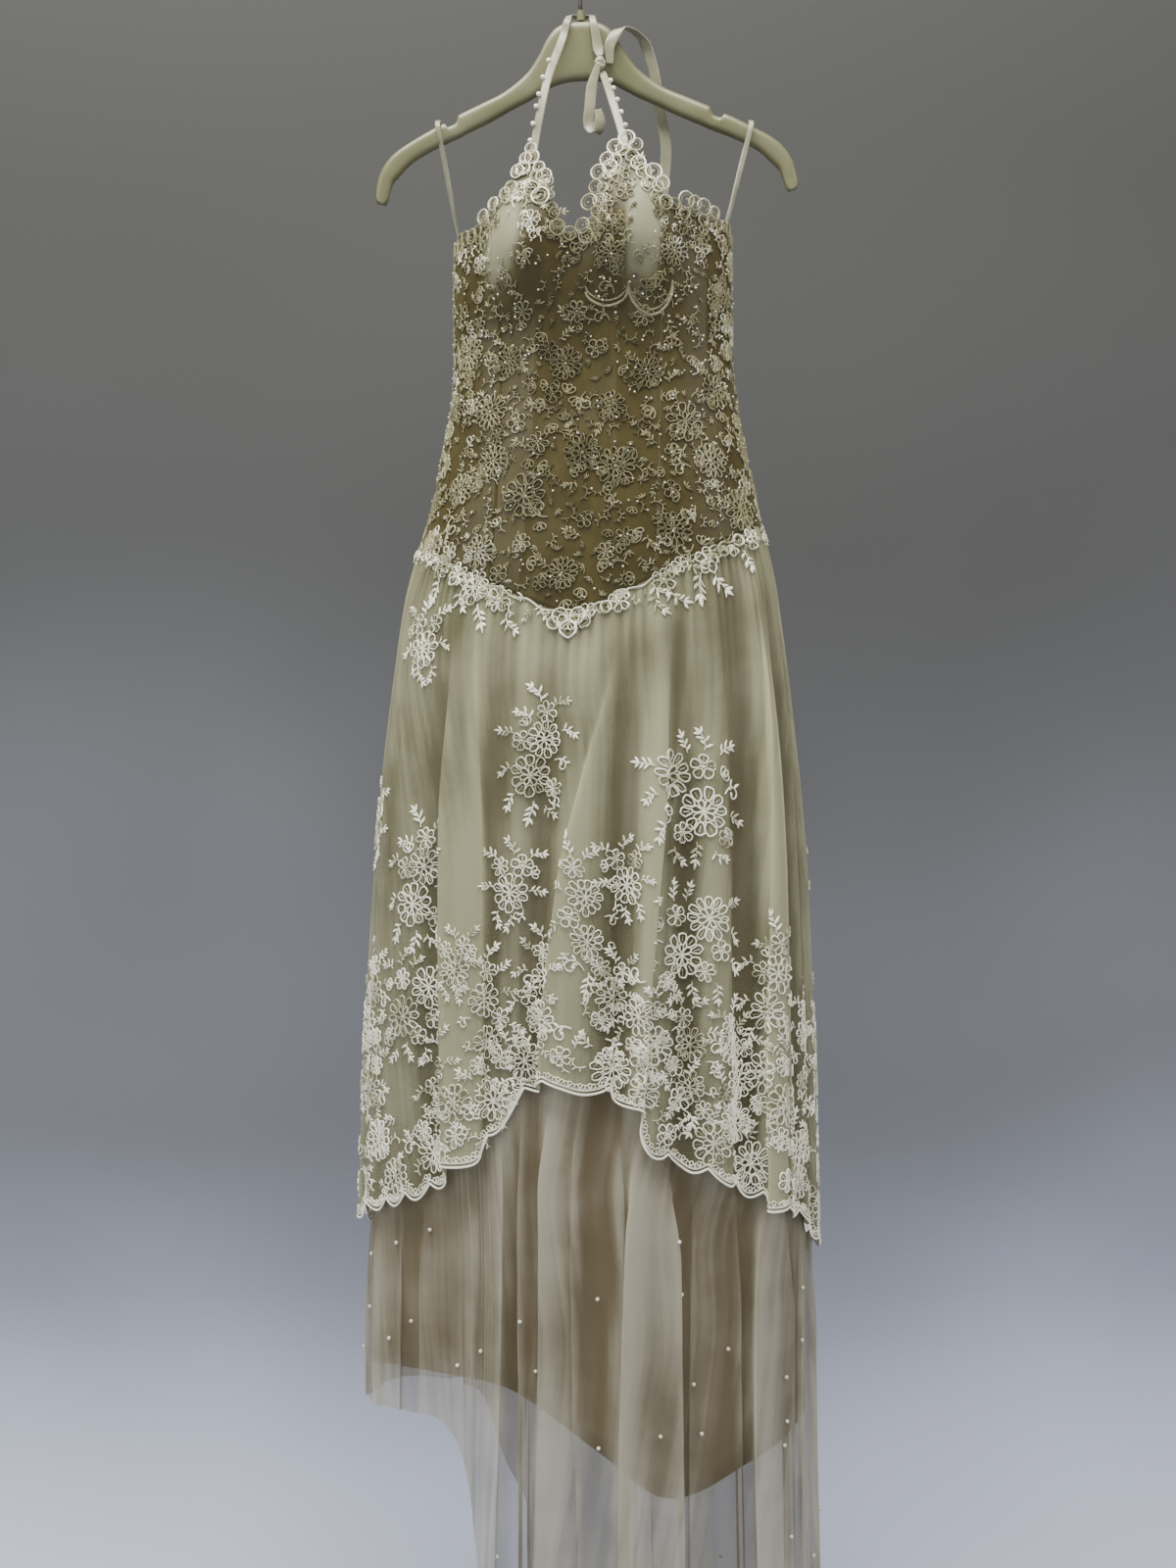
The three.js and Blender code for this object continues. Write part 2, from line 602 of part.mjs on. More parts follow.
// A ribbon along a smooth path. Each row has a place, the way its face looks, and its width there.
function ribbon(name, path, steps) {
  const curve = new THREE.CatmullRomCurve3(path.map((row) => row.at), false, "centripetal");
  const rows = path.length - 1;
  const place = (u, v, side) => {
    const step = Math.min(Math.floor(u * rows), rows - 1);
    const share = u * rows - step;
    const face = path[step].face.clone().lerp(path[step + 1].face, share);
    const tangent = curve.getTangent(u);
    const across = new THREE.Vector3().crossVectors(face, tangent).normalize();
    const out = new THREE.Vector3().crossVectors(tangent, across).normalize();
    const wide = lerp(path[step].wide, path[step + 1].wide, share);
    return curve
      .getPoint(u)
      .addScaledVector(across, (v - 0.5) * wide)
      .addScaledVector(out, (side - 0.5) * RIBBON_WALL);
  };
  return named(name, wall(steps, 1, place), LOOKS.ribbon);
}

const FRONT = new THREE.Vector3(0, -1, 0);
const UP = new THREE.Vector3(0, 0, 1);
const BACK = new THREE.Vector3(0, 1, 0);

// A row of a ribbon's path.
function via(x, y, down, face, wide) {
  return { at: new THREE.Vector3(x, y, -down), face, wide };
}

// The dress as it hangs, turned a little on its hanger.
const dress = new THREE.Group();
dress.rotation.z = radians(DRESS_TURN);
dress.position.x = DRESS_SHIFT;
dress.add(bodice(), skirts(), neckLace(), waistLace(), hemLace(), sprays(), zipPlacket());
dress.updateMatrixWorld(true);

// A row of a ribbon's path on the inside of the bodice, this far below its top edge and in from its wall.
function insideBodice(angle, below, inset, wide) {
  const down = necklineAt(angle) + below;
  const at = onBodice(angle, down, -inset).applyMatrix4(dress.matrixWorld);
  const outside = onBodice(angle, down, 1 - inset).applyMatrix4(dress.matrixWorld);
  return { at, face: outside.sub(at).normalize(), wide };
}

function ties() {
  const group = new THREE.Group();
  const { wide, knotWide, loopWide } = RIBBON;
  const peak = 16.4;
  const leftStrap = [
    insideBodice(-peak, 22, STRAP_INSET, wide),
    insideBodice(-peak, 3, STRAP_INSET, wide),
    via(-32, -52, 160, FRONT, wide),
    via(-15, -12, 98, FRONT, wide),
    via(-11, -8.5, 82, FRONT, knotWide),
    via(-8, 0, 74, UP, loopWide),
    via(2.5, 9.5, 74, BACK, loopWide),
    via(13, 0, 74, UP, loopWide),
    via(15, -8.5, 82, FRONT, knotWide),
    via(20.5, -11.5, 111, FRONT, wide),
    via(22, -13.5, 118.9, FRONT, knotWide),
  ];
  const rightStrap = [
    insideBodice(peak, 22, STRAP_INSET, wide),
    insideBodice(peak, 3, STRAP_INSET, wide),
    via(33, -48, 170, FRONT, wide),
    via(24.5, -13.5, 135.1, FRONT, knotWide),
  ];
  const tieLoop = [
    via(21, -19.4, 127, FRONT, loopWide),
    via(14, -21, 152, FRONT, wide),
    via(12, -22, 172, FRONT, wide),
    via(11, -23, 192, FRONT, wide),
    via(18, -27, 201, UP, wide),
    via(22, -31, 190, BACK, wide),
    via(20, -30, 178, BACK, knotWide),
  ];
  const tieTail = [
    via(32, -13.5, 127, FRONT, knotWide),
    via(33, -14, 106, FRONT, wide),
    via(46, -8, 89, UP, wide),
    via(64, 2, 96, UP, wide),
    via(76, 11, 122, BACK, wide),
    via(83, 13, 165, BACK, wide),
    via(90, 12, 205, BACK, wide),
    via(88, 12, 240, BACK, wide),
    via(85, 12, 272, BACK, wide),
  ];
  group.add(
    ribbon("halter_strap_left", leftStrap, 44),
    ribbon("halter_strap_right", rightStrap, 12),
    ribbon("tie_loop", tieLoop, 20),
    ribbon("tie_tail", tieTail, 30),
    knot(),
  );
  return group;
}

// The knot where the halter ribbons are tied, below the hook.
function knot() {
  const geometry = new THREE.SphereGeometry(1, 10, 8);
  const mesh = named("tie_knot", geometry, LOOKS.ribbon);
  mesh.scale.set(KNOT.wide, KNOT.deep, KNOT.tall);
  mesh.position.set(KNOT.x, KNOT.y, -KNOT.down);
  return mesh;
}

// A narrow ribbon from inside a side seam, over an arm of the hanger and back.
function hangerLoop(name, side, armAcross, armTop) {
  const wide = RIBBON.loopWide;
  const sewn = (below, inset) => insideBodice(side * LOOP_SEAM.angle, below, inset, wide);
  const [outer, inner] = LOOP_INSETS;
  const start = [sewn(LOOP_SEAM.sewn, outer), sewn(-LOOP_SEAM.clear, outer)];
  const end = [sewn(-LOOP_SEAM.clear, inner), sewn(LOOP_SEAM.sewn, inner)];
  for (const row of end) row.face.negate();
  const clear = HANGER_DEPTH / 2 + HANGER_EDGE + LOOP_ON_ARM.gap;
  const x = side * armAcross;
  const path = [
    ...start,
    via(x, -clear, armTop + LOOP_ON_ARM.drop, FRONT, wide),
    via(x, -clear, armTop + LOOP_ON_ARM.turn, FRONT, wide),
    via(x, 0, armTop - LOOP_ON_ARM.rise, UP, wide),
    via(x, clear, armTop + LOOP_ON_ARM.turn, BACK, wide),
    via(x, clear, armTop + LOOP_ON_ARM.drop, BACK, wide),
    ...end,
  ];
  return ribbon(name, path, 30);
}

function hangerOutline() {
  const point = (row, side) => new THREE.Vector2(side * row.across, -row.down);
  const right = (rows) => rows.map((row) => point(row, 1));
  const left = (rows) => rows.map((row) => point(row, -1)).reverse();
  const shape = new THREE.Shape();
  shape.moveTo(0, -HANGER_TOP[0].down);
  shape.splineThru(right(HANGER_TOP.slice(1)));
  for (const corner of right(HANGER_NOTCH)) shape.lineTo(corner.x, corner.y);
  shape.splineThru(right(HANGER_END));
  shape.splineThru(right(HANGER_BELOW));
  shape.splineThru(left(HANGER_BELOW.slice(0, -1)));
  shape.lineTo(-HANGER_END.at(-1).across, -HANGER_END.at(-1).down);
  shape.splineThru(left(HANGER_END.slice(0, -1)));
  for (const corner of left(HANGER_NOTCH)) shape.lineTo(corner.x, corner.y);
  shape.splineThru(left(HANGER_TOP));
  return shape;
}

function hanger() {
  const group = new THREE.Group();
  const geometry = new THREE.ExtrudeGeometry(hangerOutline(), {
    depth: HANGER_DEPTH,
    bevelThickness: HANGER_EDGE,
    bevelSize: HANGER_EDGE,
    bevelOffset: -HANGER_EDGE,
    bevelSegments: 1,
    curveSegments: 1,
  });
  geometry.translate(0, 0, -HANGER_DEPTH / 2).rotateX(Math.PI / 2);
  group.add(named("hanger_body", geometry, LOOKS.plastic));
  group.add(named("hanger_collar", hangerCollar(), LOOKS.plastic));
  group.add(hook());
  group.rotation.y = -radians(HANGER_TILT);
  return group;
}

// The wire hook: a round bow over the rail, brought back to a stem on the hanger's middle.
function hook() {
  const radius = HOOK.inside + HOOK.wire;
  const points = [];
  for (let turn = HOOK.tip; turn >= HOOK.bend; turn -= HOOK.step) {
    const height = radius * Math.sin(radians(turn)) - HOOK.inside;
    points.push(new THREE.Vector3(radius * Math.cos(radians(turn)), 0, height));
  }
  points.push(new THREE.Vector3(HOOK.wire, 0, -HOOK.neck));
  points.push(new THREE.Vector3(0, 0, -HOOK.stemTop));
  points.push(new THREE.Vector3(0, 0, -HOOK.stemFoot));
  const section = new THREE.Shape().absarc(0, 0, HOOK.wire, 0, 2 * Math.PI);
  const geometry = new THREE.ExtrudeGeometry(section, {
    steps: 26,
    curveSegments: 4,
    extrudePath: new THREE.CatmullRomCurve3(points),
  });
  return named("hanger_hook", geometry, LOOKS.steel);
}

function hangerCollar() {
  const { radius, top, foot } = COLLAR;
  const geometry = new THREE.CylinderGeometry(radius - 1, radius, foot - top, 12);
  geometry.rotateX(Math.PI / 2).translate(0, 0, -(top + foot) / 2);
  return geometry;
}

const part = new THREE.Group();
part.add(hanger(), dress, ties());
part.add(hangerLoop("hanger_loop_left", -1, 143, 184), hangerLoop("hanger_loop_right", 1, 176, 184));

export default part;
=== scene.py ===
"""The looks of a halter-neck wedding dress on its hanger: satin, tulle, corded lace, pearls and ribbon.

Sizes are in millimetres until a mesh is made. "down" is a distance below the seat of the hanger's hook, and
"angle" runs round the dress in degrees from its front, with the side seams at -90 and 90.
"""

import math

import bmesh
import bpy
import numpy as np
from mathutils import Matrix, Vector


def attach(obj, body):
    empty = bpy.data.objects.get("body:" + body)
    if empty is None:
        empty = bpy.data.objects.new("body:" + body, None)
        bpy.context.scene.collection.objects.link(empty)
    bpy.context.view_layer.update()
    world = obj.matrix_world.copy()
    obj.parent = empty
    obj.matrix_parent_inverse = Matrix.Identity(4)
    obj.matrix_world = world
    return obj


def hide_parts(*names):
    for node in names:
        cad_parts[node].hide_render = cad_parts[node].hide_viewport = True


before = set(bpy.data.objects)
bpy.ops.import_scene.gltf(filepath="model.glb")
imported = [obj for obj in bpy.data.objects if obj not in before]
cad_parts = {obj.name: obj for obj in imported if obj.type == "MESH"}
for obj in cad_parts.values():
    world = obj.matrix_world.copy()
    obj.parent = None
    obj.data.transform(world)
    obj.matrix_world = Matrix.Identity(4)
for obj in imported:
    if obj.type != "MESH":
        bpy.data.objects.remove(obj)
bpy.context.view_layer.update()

MM = 0.001
BODY = "root"

# Driving sizes, the same as the solids have.
BODICE_WALL = 2.4
LINING_WALL = 1.3
TULLE_WALL = 1.1
LAYER_GAP = 1.2
DRESS_TURN = math.radians(-10)
DRESS_SHIFT = 15
WAIST_SIDE = 606
WAIST_POINT = 87
WAIST_BACK_POINT = 34
SKIRT_FOOT = 1500
FOLD_AT_WAIST = 0.15
FOLD_FULL_SHARE = 0.4
FOLD_WIDTH_AT_WAIST = 0.75


def table(columns, *rows):
    """Rows of numbers under named columns, as one array for each column."""
    return dict(zip(columns.split(), np.array(rows, float).T))


def rows_of(columns):
    """A table's rows, each as one tuple."""
    return zip(*columns.values())


# The hollow body that the panels are cut to.
SECTIONS = table(
    "down half front back square tilt lean",
    (205, 134, 76, 56, 2.4, 0.05, 0),
    (300, 137, 88, 60, 2.4, 0.05, 0),
    (360, 139, 88, 64, 2.4, 0.05, 0),
    (410, 139, 82, 64, 2.4, 0.045, 0),
    (460, 142, 84, 62, 2.4, 0.04, 0),
    (520, 152, 92, 68, 2.35, 0.035, 0),
    (575, 163, 99, 76, 2.3, 0.03, 0),
    (620, 175, 104, 84, 2.25, 0.03, -2),
    (690, 187, 110, 90, 2.2, 0.02, -4),
    (760, 195, 116, 96, 2.15, 0.01, -4.5),
    (860, 203, 121, 100, 2.1, 0, -5),
    (1060, 213, 128, 107, 2.1, 0, -5.5),
    (1300, 219, 134, 114, 2.1, 0, -5.5),
    (1500, 220, 137, 119, 2.1, 0, -5.5),
    (1780, 226, 141, 129, 2.1, 0, -5.5),
)
NECKLINE = table(
    "angle down",
    (0, 319), (2.5, 317), (5, 307), (7, 285), (9.2, 262), (12.3, 244), (16.4, 235), (19.8, 243),
    (24.4, 262), (30.3, 280), (36.8, 293), (57.7, 303), (90, 312), (130, 328), (180, 340),
)
OVERSKIRT_HEM = table(
    "angle down",
    (-90, 1300), (-55, 1272), (-33, 1246), (-18, 1200), (-8, 1150), (4, 1146), (14, 1158), (16.5, 1168),
    (19, 1198), (24, 1208), (45, 1242), (90, 1300), (180, 1400), (270, 1300),
)
UNDERSKIRT_HEM = table(
    "angle down",
    (-90, 1486), (-45, 1480), (-28, 1496), (-22, 1592), (-16, 1700), (30, 1732), (90, 1726), (180, 1764),
    (198, 1740), (206, 1620), (216, 1510), (270, 1486),
)
LINING_HEM = table(
    "angle down",
    (-90, 1452), (-50, 1438), (-14, 1444), (8, 1500), (26, 1546), (55, 1512), (90, 1488), (180, 1505),
    (270, 1452),
)

# Broad folds, as on the solids: angles at the waist and at the foot, and the ridge's width and depth.
FOLD = "top foot wide deep"
LINING_FOLDS = table(
    FOLD,
    (-66, -70, 10, 4), (-24, -30, 9, 5), (20, 14, 9, 5), (62, 56, 10, 4),
    (112, 110, 11, 5), (160, 162, 11, 6), (205, 206, 11, 6), (248, 250, 10, 5),
)
UNDERSKIRT_FOLDS = table(
    FOLD,
    (-55, -57, 8, 6), (-9, -15, 6, 9), (3, -2, 6, 9), (25, 19, 7, 10), (41, 36, 8, 6), (63, 58, 7, 10),
    (104, 106, 8, 8), (131, 134, 9, 11), (158, 157, 8, 13), (184, 186, 9, 14), (212, 215, 8, 12),
    (240, 243, 9, 9),
)
OVERSKIRT_FOLDS = table(
    FOLD,
    (-72, -76, 9, 5), (-48, -43, 11, 8), (-27, -22, 7, 8), (9, -1, 7.5, 11), (26, 19, 7, 7),
    (41, 35, 7.5, 9), (64, 57, 7, 9), (77, 70, 7, 6), (103, 100, 8, 6), (122, 121, 7, 8),
    (143, 146, 8, 9), (168, 170, 8, 10), (190, 193, 7, 9), (216, 214, 8, 9), (240, 238, 7, 7),
)

# Narrow folds of the tulle. A fold leans this many degrees to one side, so that it lies over itself.
PLEAT = "top foot wide deep lean"
OVERSKIRT_PLEATS = table(
    PLEAT,
    (-82, -79, 3.2, 5, 2), (-66, -62, 3.6, 5, -2.4), (-38, -26, 2.3, 9, -3.8), (-29, -22.5, 1.9, 7, 2.4),
    (22.5, -1.5, 2.4, 12, -5.6), (17, 7, 3, 4, 2), (33, 14.5, 2.2, 9, 4), (40, 27, 2.4, 5, -2),
    (50, 40, 3.4, 5, 2), (68, 59.5, 2, 11, -4.4), (74, 64, 1.7, 8, -3), (83, 76, 2.8, 7, 3),
    (98, 96, 2.8, 5, -2.2), (113, 112, 2.4, 8, 3.8), (128, 130, 2.8, 5, -2.4), (137, 139, 2.1, 10, -4.2),
    (154, 155, 2.6, 6, 2.4), (163, 164, 2.1, 10, 4.2), (178, 180, 2.6, 5, -2), (187, 189, 2.1, 10, -4.2),
    (203, 204, 2.6, 6, 2.4), (212, 211, 2.2, 9, 4), (228, 227, 2.7, 6, -2.4), (249, 250, 2.6, 7, 3),
)
UNDERSKIRT_PLEATS = table(
    PLEAT,
    (-80, -78, 3, 5, -2), (-63, -62, 3.4, 5, 2.2), (-39, -38, 2.8, 5, -2.4), (-25, -24, 2.5, 6, 2.4),
    (-11, -11.5, 3.6, -6, 0), (6, -1.5, 2.4, 11, -4.2), (8, 6, 4, 4, 1.5), (12, 11.5, 2.4, 7, 3),
    (19, 18.5, 1.9, 10, -3.6), (25, 25, 1.8, 10, 3.4), (40, 40, 6, -4.5, 0), (56, 55.5, 2, 10, -3.8),
    (66, 66, 2.8, 6, 2.2), (81, 80, 2.6, 6, -2.4), (98, 99, 2.6, 7, 3), (116, 118, 2.2, 10, 4),
    (124, 127, 2.1, 8, -3), (144, 146, 2.2, 10, -4), (167, 166, 2.2, 10, 4), (176, 177, 2.4, 7, -2.6),
    (195, 197, 2.2, 10, 4), (204, 206, 2.4, 7, -3), (222, 225, 2.3, 9, -3.6), (251, 253, 2.8, 6, 2.4),
    (-50, -49.5, 0.8, 3.5, 1.5), (-3, -8.5, 0.8, 4, -1.6), (-17, -16, 0.7, 3, 1.2), (4, 4, 0.7, 3, -1.2),
    (22, 22.4, 0.8, 3.5, 1.4), (34, 33, 0.7, 3, -1.2), (44, 46, 0.8, 4, 1.6), (73, 73, 0.8, 3.5, -1.4),
)
FOLD_REACH = 26
# A pleat sways on its way down, and stands out unevenly.
PLEAT_SWAY = {"size": 0.7, "length": 150, "phase": 2.4}
PLEAT_UNEVEN = {"size": 0.25, "length": 170, "longer": 23, "kinds": 5, "phase": 1.7}
PLEAT_GROWS = 260
PLEAT_STARTS_BELOW_HEM = -10
PLEAT_GROWS_BELOW_HEM = 110
# Gathers under the waist, in degrees and millimetres, and what makes their places and lengths uneven.
GATHERS = {"pitch": 3.6, "depth": 3.4, "length": 70, "starts": 14}
GATHER_PLACES = table("size waves", (1.1, 7), (0.8, 17))
GATHER_LENGTHS = {"size": 0.5, "waves": 23}
SEAM_TUCK = 60
SEAM_LINING = 0.5
SEAM_UNDERSKIRT = 1.1
SEAM_OVERSKIRT = 1.8

# Cups of the bodice, its seams, its bones and the soft dents where nobody fills it.
CUP = {"across": 50, "down": 318, "rise": 20, "wide": 36, "above": 62, "below": 44}
PRINCESS = {"top": 280, "top_angle": 35, "foot": 680, "foot_angle": 23}
BONES = table("angle wide rise", (-14, 1.3, 0.9), (12, 1.3, 0.9), (-58, 1.4, 0.8), (58, 1.4, 0.8),
              (128, 1.4, 0.8), (232, 1.4, 0.8))
BONE_FADE = {"top": 40, "foot": 30}
# Degrees round the bodice to a millimetre, for the slant of a dent.
DEGREES_PER_MM = 1 / 3
DENTS = table(
    "angle down wide tall deep turn",
    (0, 470, 9, 60, 4, 0), (-27, 430, 6, 70, 3.5, 8), (26, 452, 6, 60, 3, -6), (-48, 520, 9, 34, 3, 30),
    (50, 505, 9, 30, 3, -25), (-8, 596, 12, 20, 2, 20), (14, 560, 9, 24, 2, -20),
    (70, 420, 10, 30, 3, 15), (-72, 440, 9, 34, 3, -20), (120, 470, 12, 40, 4, 10),
    (240, 480, 12, 40, 4, -12), (160, 520, 10, 30, 3, 0), (200, 430, 10, 36, 3, 14),
)

# The cups' smooth patches. A patch leans by a degree in this many millimetres, and fades at its rim.
BARE_PATCHES = table("angle down lean wide tall", (-29, 318, 22, 12, 54), (24.1, 318, 40, 8.5, 74))
BARE_RIM = 1.7
# Painted shade on the smooth patches: from the top to the foot of this stretch they are painted darker by
# this share.
BARE_SHADE = {"top": 290, "foot": 390, "share": 0.55}

# The scallops of the lace hem: their pitch in degrees and how far they reach below the hem.
HEM_LACE = {"pitch": 9, "height": 11}
LACE_LIFT = 0.7


def along(rows, key, place, column):
    """A column of a table at places between its rows, on a smooth curve through them."""
    keys, values = rows[key], rows[column]
    place = np.asarray(place, float)
    last = len(keys) - 1
    i = np.clip(np.searchsorted(keys, place) - 1, 0, last - 1)
    before = np.maximum(i - 1, 0)
    after = np.minimum(i + 2, last)
    span = keys[i + 1] - keys[i]
    t = np.clip((place - keys[i]) / span, 0, 1)
    slope_a = span * (values[i + 1] - values[before]) / (keys[i + 1] - keys[before])
    slope_b = span * (values[after] - values[i]) / (keys[after] - keys[i])
    rise = t * t * (3 - 2 * t)
    bend = (t**3 - 2 * t**2 + t) * slope_a + (t**3 - t**2) * slope_b
    return values[i] + (values[i + 1] - values[i]) * rise + bend


def smooth(low, high, value):
    """0 below low, 1 above high and a soft step between them."""
    t = np.clip((value - low) / (high - low), 0, 1)
    return t * t * (3 - 2 * t)


def away(angle, middle):
    """The turn from middle to angle, the short way round."""
    return (angle - middle + 180) % 360 - 180


def body_point(angle, down):
    """A point of the hollow body and the way out of it, before the dress is turned on its hanger."""
    angle, down = np.broadcast_arrays(np.asarray(angle, float), np.asarray(down, float))
    s = np.sin(np.radians(angle))
    c = np.cos(np.radians(angle))
    half = along(SECTIONS, "down", down, "half")
    front = along(SECTIONS, "down", down, "front")
    depth = np.where(c > 0, front, along(SECTIONS, "down", down, "back"))
    power = 2 / along(SECTIONS, "down", down, "square")
    x = half * np.sign(s) * np.abs(s) ** power
    y = -depth * np.sign(c) * np.abs(c) ** power
    out_x = np.sign(s) * np.abs(s) ** (2 - power) / half
    out_y = -np.sign(c) * np.abs(c) ** (2 - power) / depth
    size = np.hypot(out_x, out_y)
    z = x * along(SECTIONS, "down", down, "tilt") - down
    return x, y, z, out_x / size, out_y / size


def on_body(angle, down, out):
    """Points of the hung dress, this far out from its hollow body."""
    x, y, z, out_x, out_y = body_point(angle, down)
    x = x + along(SECTIONS, "down", down, "lean") + out * out_x
    y = y + out * out_y
    turned_x = x * math.cos(DRESS_TURN) - y * math.sin(DRESS_TURN) + DRESS_SHIFT
    turned_y = x * math.sin(DRESS_TURN) + y * math.cos(DRESS_TURN)
    return np.stack([turned_x, turned_y, z + 0 * turned_x], -1)


def neckline_at(angle):
    """The top edge of the bodice, the same on either side."""
    return along(NECKLINE, "angle", np.abs(away(np.asarray(angle, float), 0)), "down")


def waist_at(angle):
    """The seam between bodice and skirt: a long point at the front and a shallow one behind."""
    c = np.cos(np.radians(angle))
    point = np.where(c > 0, WAIST_POINT, WAIST_BACK_POINT)
    return WAIST_SIDE + point * (1 - np.abs(np.sin(np.radians(angle))))


def princess_at(down):
    """The angle of the front's seams, which lean towards the waist's point."""
    share = np.clip((down - PRINCESS["top"]) / (PRINCESS["foot"] - PRINCESS["top"]), 0, 1)
    return PRINCESS["top_angle"] + (PRINCESS["foot_angle"] - PRINCESS["top_angle"]) * share


def cup_rise(angle, down):
    """How far the cups stand out from the hollow body."""
    x, y = body_point(angle, down)[:2]
    across = (np.abs(x) - CUP["across"]) / CUP["wide"]
    reach = np.where(down < CUP["down"], CUP["above"], CUP["below"])
    height = (down - CUP["down"]) / reach
    return np.where(y > 0, 0, CUP["rise"] * np.exp(-(across**2) - height**2))


def bare_satin_with_shade(angle, down):
    """1 on the cups' smooth satin, between the edging above and the lace below, and 0 away from it. Lower
    down the cups it is less, as painted shade on that smooth satin.
    """
    reach = np.inf
    for middle, height, lean, wide, tall in rows_of(BARE_PATCHES):
        across = (away(angle, middle) + (down - height) / lean) / wide
        reach = np.minimum(reach, across**2 + ((down - height) / tall) ** 2)
    # Painted shade: the smooth satin is painted darker towards the foot of the cups.
    shaded = 1 - BARE_SHADE["share"] * smooth(BARE_SHADE["top"], BARE_SHADE["foot"], down)
    return shaded * (1 - smooth(0, BARE_RIM, reach))


def bodice(angle, down):
    """The outside of the bodice: cups, bones along the seams and soft dents."""
    out = BODICE_WALL + cup_rise(angle, down)
    for bone, wide, rise in rows_of(BONES):
        fade = smooth(0, BONE_FADE["top"], down - neckline_at(bone))
        fade = fade * smooth(0, BONE_FADE["foot"], waist_at(bone) - down)
        out = out + rise * fade * np.exp(-((away(angle, bone) / wide) ** 2))
    for middle, height, wide, tall, deep, turn in rows_of(DENTS):
        lean = math.tan(math.radians(turn)) * DEGREES_PER_MM
        across = (away(angle, middle) - lean * (down - height)) / wide
        out = out - deep * np.exp(-(across**2) - ((down - height) / tall) ** 2)
    return on_body(angle, down, out)


def nearby(rows, angle):
    """The numbers of the folds that can reach these angles."""
    middle = (np.min(angle) + np.max(angle)) / 2
    reach = (np.max(angle) - np.min(angle)) / 2 + FOLD_REACH
    near = (np.abs(away(rows["top"], middle)) < reach) | (np.abs(away(rows["foot"], middle)) < reach)
    return np.flatnonzero(near)


def skirt_share(down):
    """0 at the waist and 1 at the foot of the skirt."""
    return np.clip((down - WAIST_SIDE) / (SKIRT_FOOT - WAIST_SIDE), 0, 1)


def folds_at(rows, angle, down):
    """The broad folds of a skirt layer, as on the solids."""
    share = skirt_share(down)
    fullness = FOLD_AT_WAIST + (1 - FOLD_AT_WAIST) * smooth(0, FOLD_FULL_SHARE, share)
    wider = FOLD_WIDTH_AT_WAIST + (1 - FOLD_WIDTH_AT_WAIST) * share
    out = 0
    for k in nearby(rows, angle):
        middle = rows["top"][k] + (rows["foot"][k] - rows["top"][k]) * share
        ridge = away(angle, middle) / (rows["wide"][k] * wider)
        out = out + rows["deep"][k] * fullness * np.exp(-(ridge**2))
    return out


def pleats_at(rows, angle, down, grown):
    """How far a layer's narrow folds stand out, and how many degrees they lie over to one side."""
    share = skirt_share(down)
    out = 0
    over = 0
    for k in nearby(rows, angle):
        sway = PLEAT_SWAY["size"] * np.sin(down / PLEAT_SWAY["length"] + PLEAT_SWAY["phase"] * k)
        middle = rows["foot"][k] + (rows["top"][k] - rows["foot"][k]) * (1 - share) ** 3 + sway
        length = PLEAT_UNEVEN["length"] + PLEAT_UNEVEN["longer"] * (k % PLEAT_UNEVEN["kinds"])
        uneven = 1 + PLEAT_UNEVEN["size"] * np.sin(down / length + PLEAT_UNEVEN["phase"] * k)
        ridge = grown * uneven * np.exp(-((away(angle, middle) / rows["wide"][k]) ** 2))
        out = out + rows["deep"][k] * ridge
        over = over + rows["lean"][k] * ridge
    return out, over


def gathers_at(angle, down):
    """Small gathers under the waist seam, which run out in the cloth below."""
    below = np.maximum(down - waist_at(angle), 0)
    uneven = angle
    for size, waves in rows_of(GATHER_PLACES):
        uneven = uneven + size * np.sin(np.radians(waves * angle))
    wave = np.sin(np.pi * uneven / GATHERS["pitch"]) ** 2
    longer = GATHER_LENGTHS["size"] * np.sin(np.radians(GATHER_LENGTHS["waves"] * angle))
    fade = np.exp(-below / (GATHERS["length"] * (1 + longer)))
    return GATHERS["depth"] * wave * fade * smooth(0, GATHERS["starts"], below)


def tucked(out, seam, angle, down):
    """A skirt layer drawn in to the waist seam, behind the edge of the bodice."""
    share = smooth(0, SEAM_TUCK, down - waist_at(angle))
    return seam + (out - seam) * share


def lining(angle, down):
    """The outside of the opaque lining."""
    out = folds_at(LINING_FOLDS, angle, down) + LINING_WALL
    return on_body(angle, down, tucked(out, SEAM_LINING, angle, down))


def underskirt_out(angle, down):
    """How far the long tulle layer stands out from the body, without its narrow folds."""
    out = folds_at(LINING_FOLDS, angle, down) + LINING_WALL + LAYER_GAP
    return out + folds_at(UNDERSKIRT_FOLDS, angle, down)


def underskirt(angle, down):
    """The long tulle layer. Its narrow folds grow below the hem of the layer that lies on it."""
    below = down - along(OVERSKIRT_HEM, "angle", round_angle(angle), "down")
    grown = smooth(PLEAT_STARTS_BELOW_HEM, PLEAT_GROWS_BELOW_HEM, below)
    out, over = pleats_at(UNDERSKIRT_PLEATS, angle, down, grown)
    turned = angle + over
    out = out + underskirt_out(turned, down) + TULLE_WALL / 2
    return on_body(turned, down, tucked(out, SEAM_UNDERSKIRT, angle, down))


def overskirt(angle, down):
    """The short tulle layer on top, with its gathers and narrow folds."""
    grown = smooth(0, PLEAT_GROWS, down - waist_at(angle))
    out, over = pleats_at(OVERSKIRT_PLEATS, angle, down, grown)
    turned = angle + over
    base = underskirt_out(turned, down) + TULLE_WALL + LAYER_GAP
    base = tucked(base + folds_at(OVERSKIRT_FOLDS, turned, down), SEAM_OVERSKIRT, angle, down)
    return on_body(turned, down, base + out + gathers_at(angle, down))


def round_angle(angle):
    """The same way round the dress, from -90 to 270."""
    return (np.asarray(angle, float) + 90) % 360 - 90


STEP_ANGLE = 0.2
STEP_DOWN = 0.8


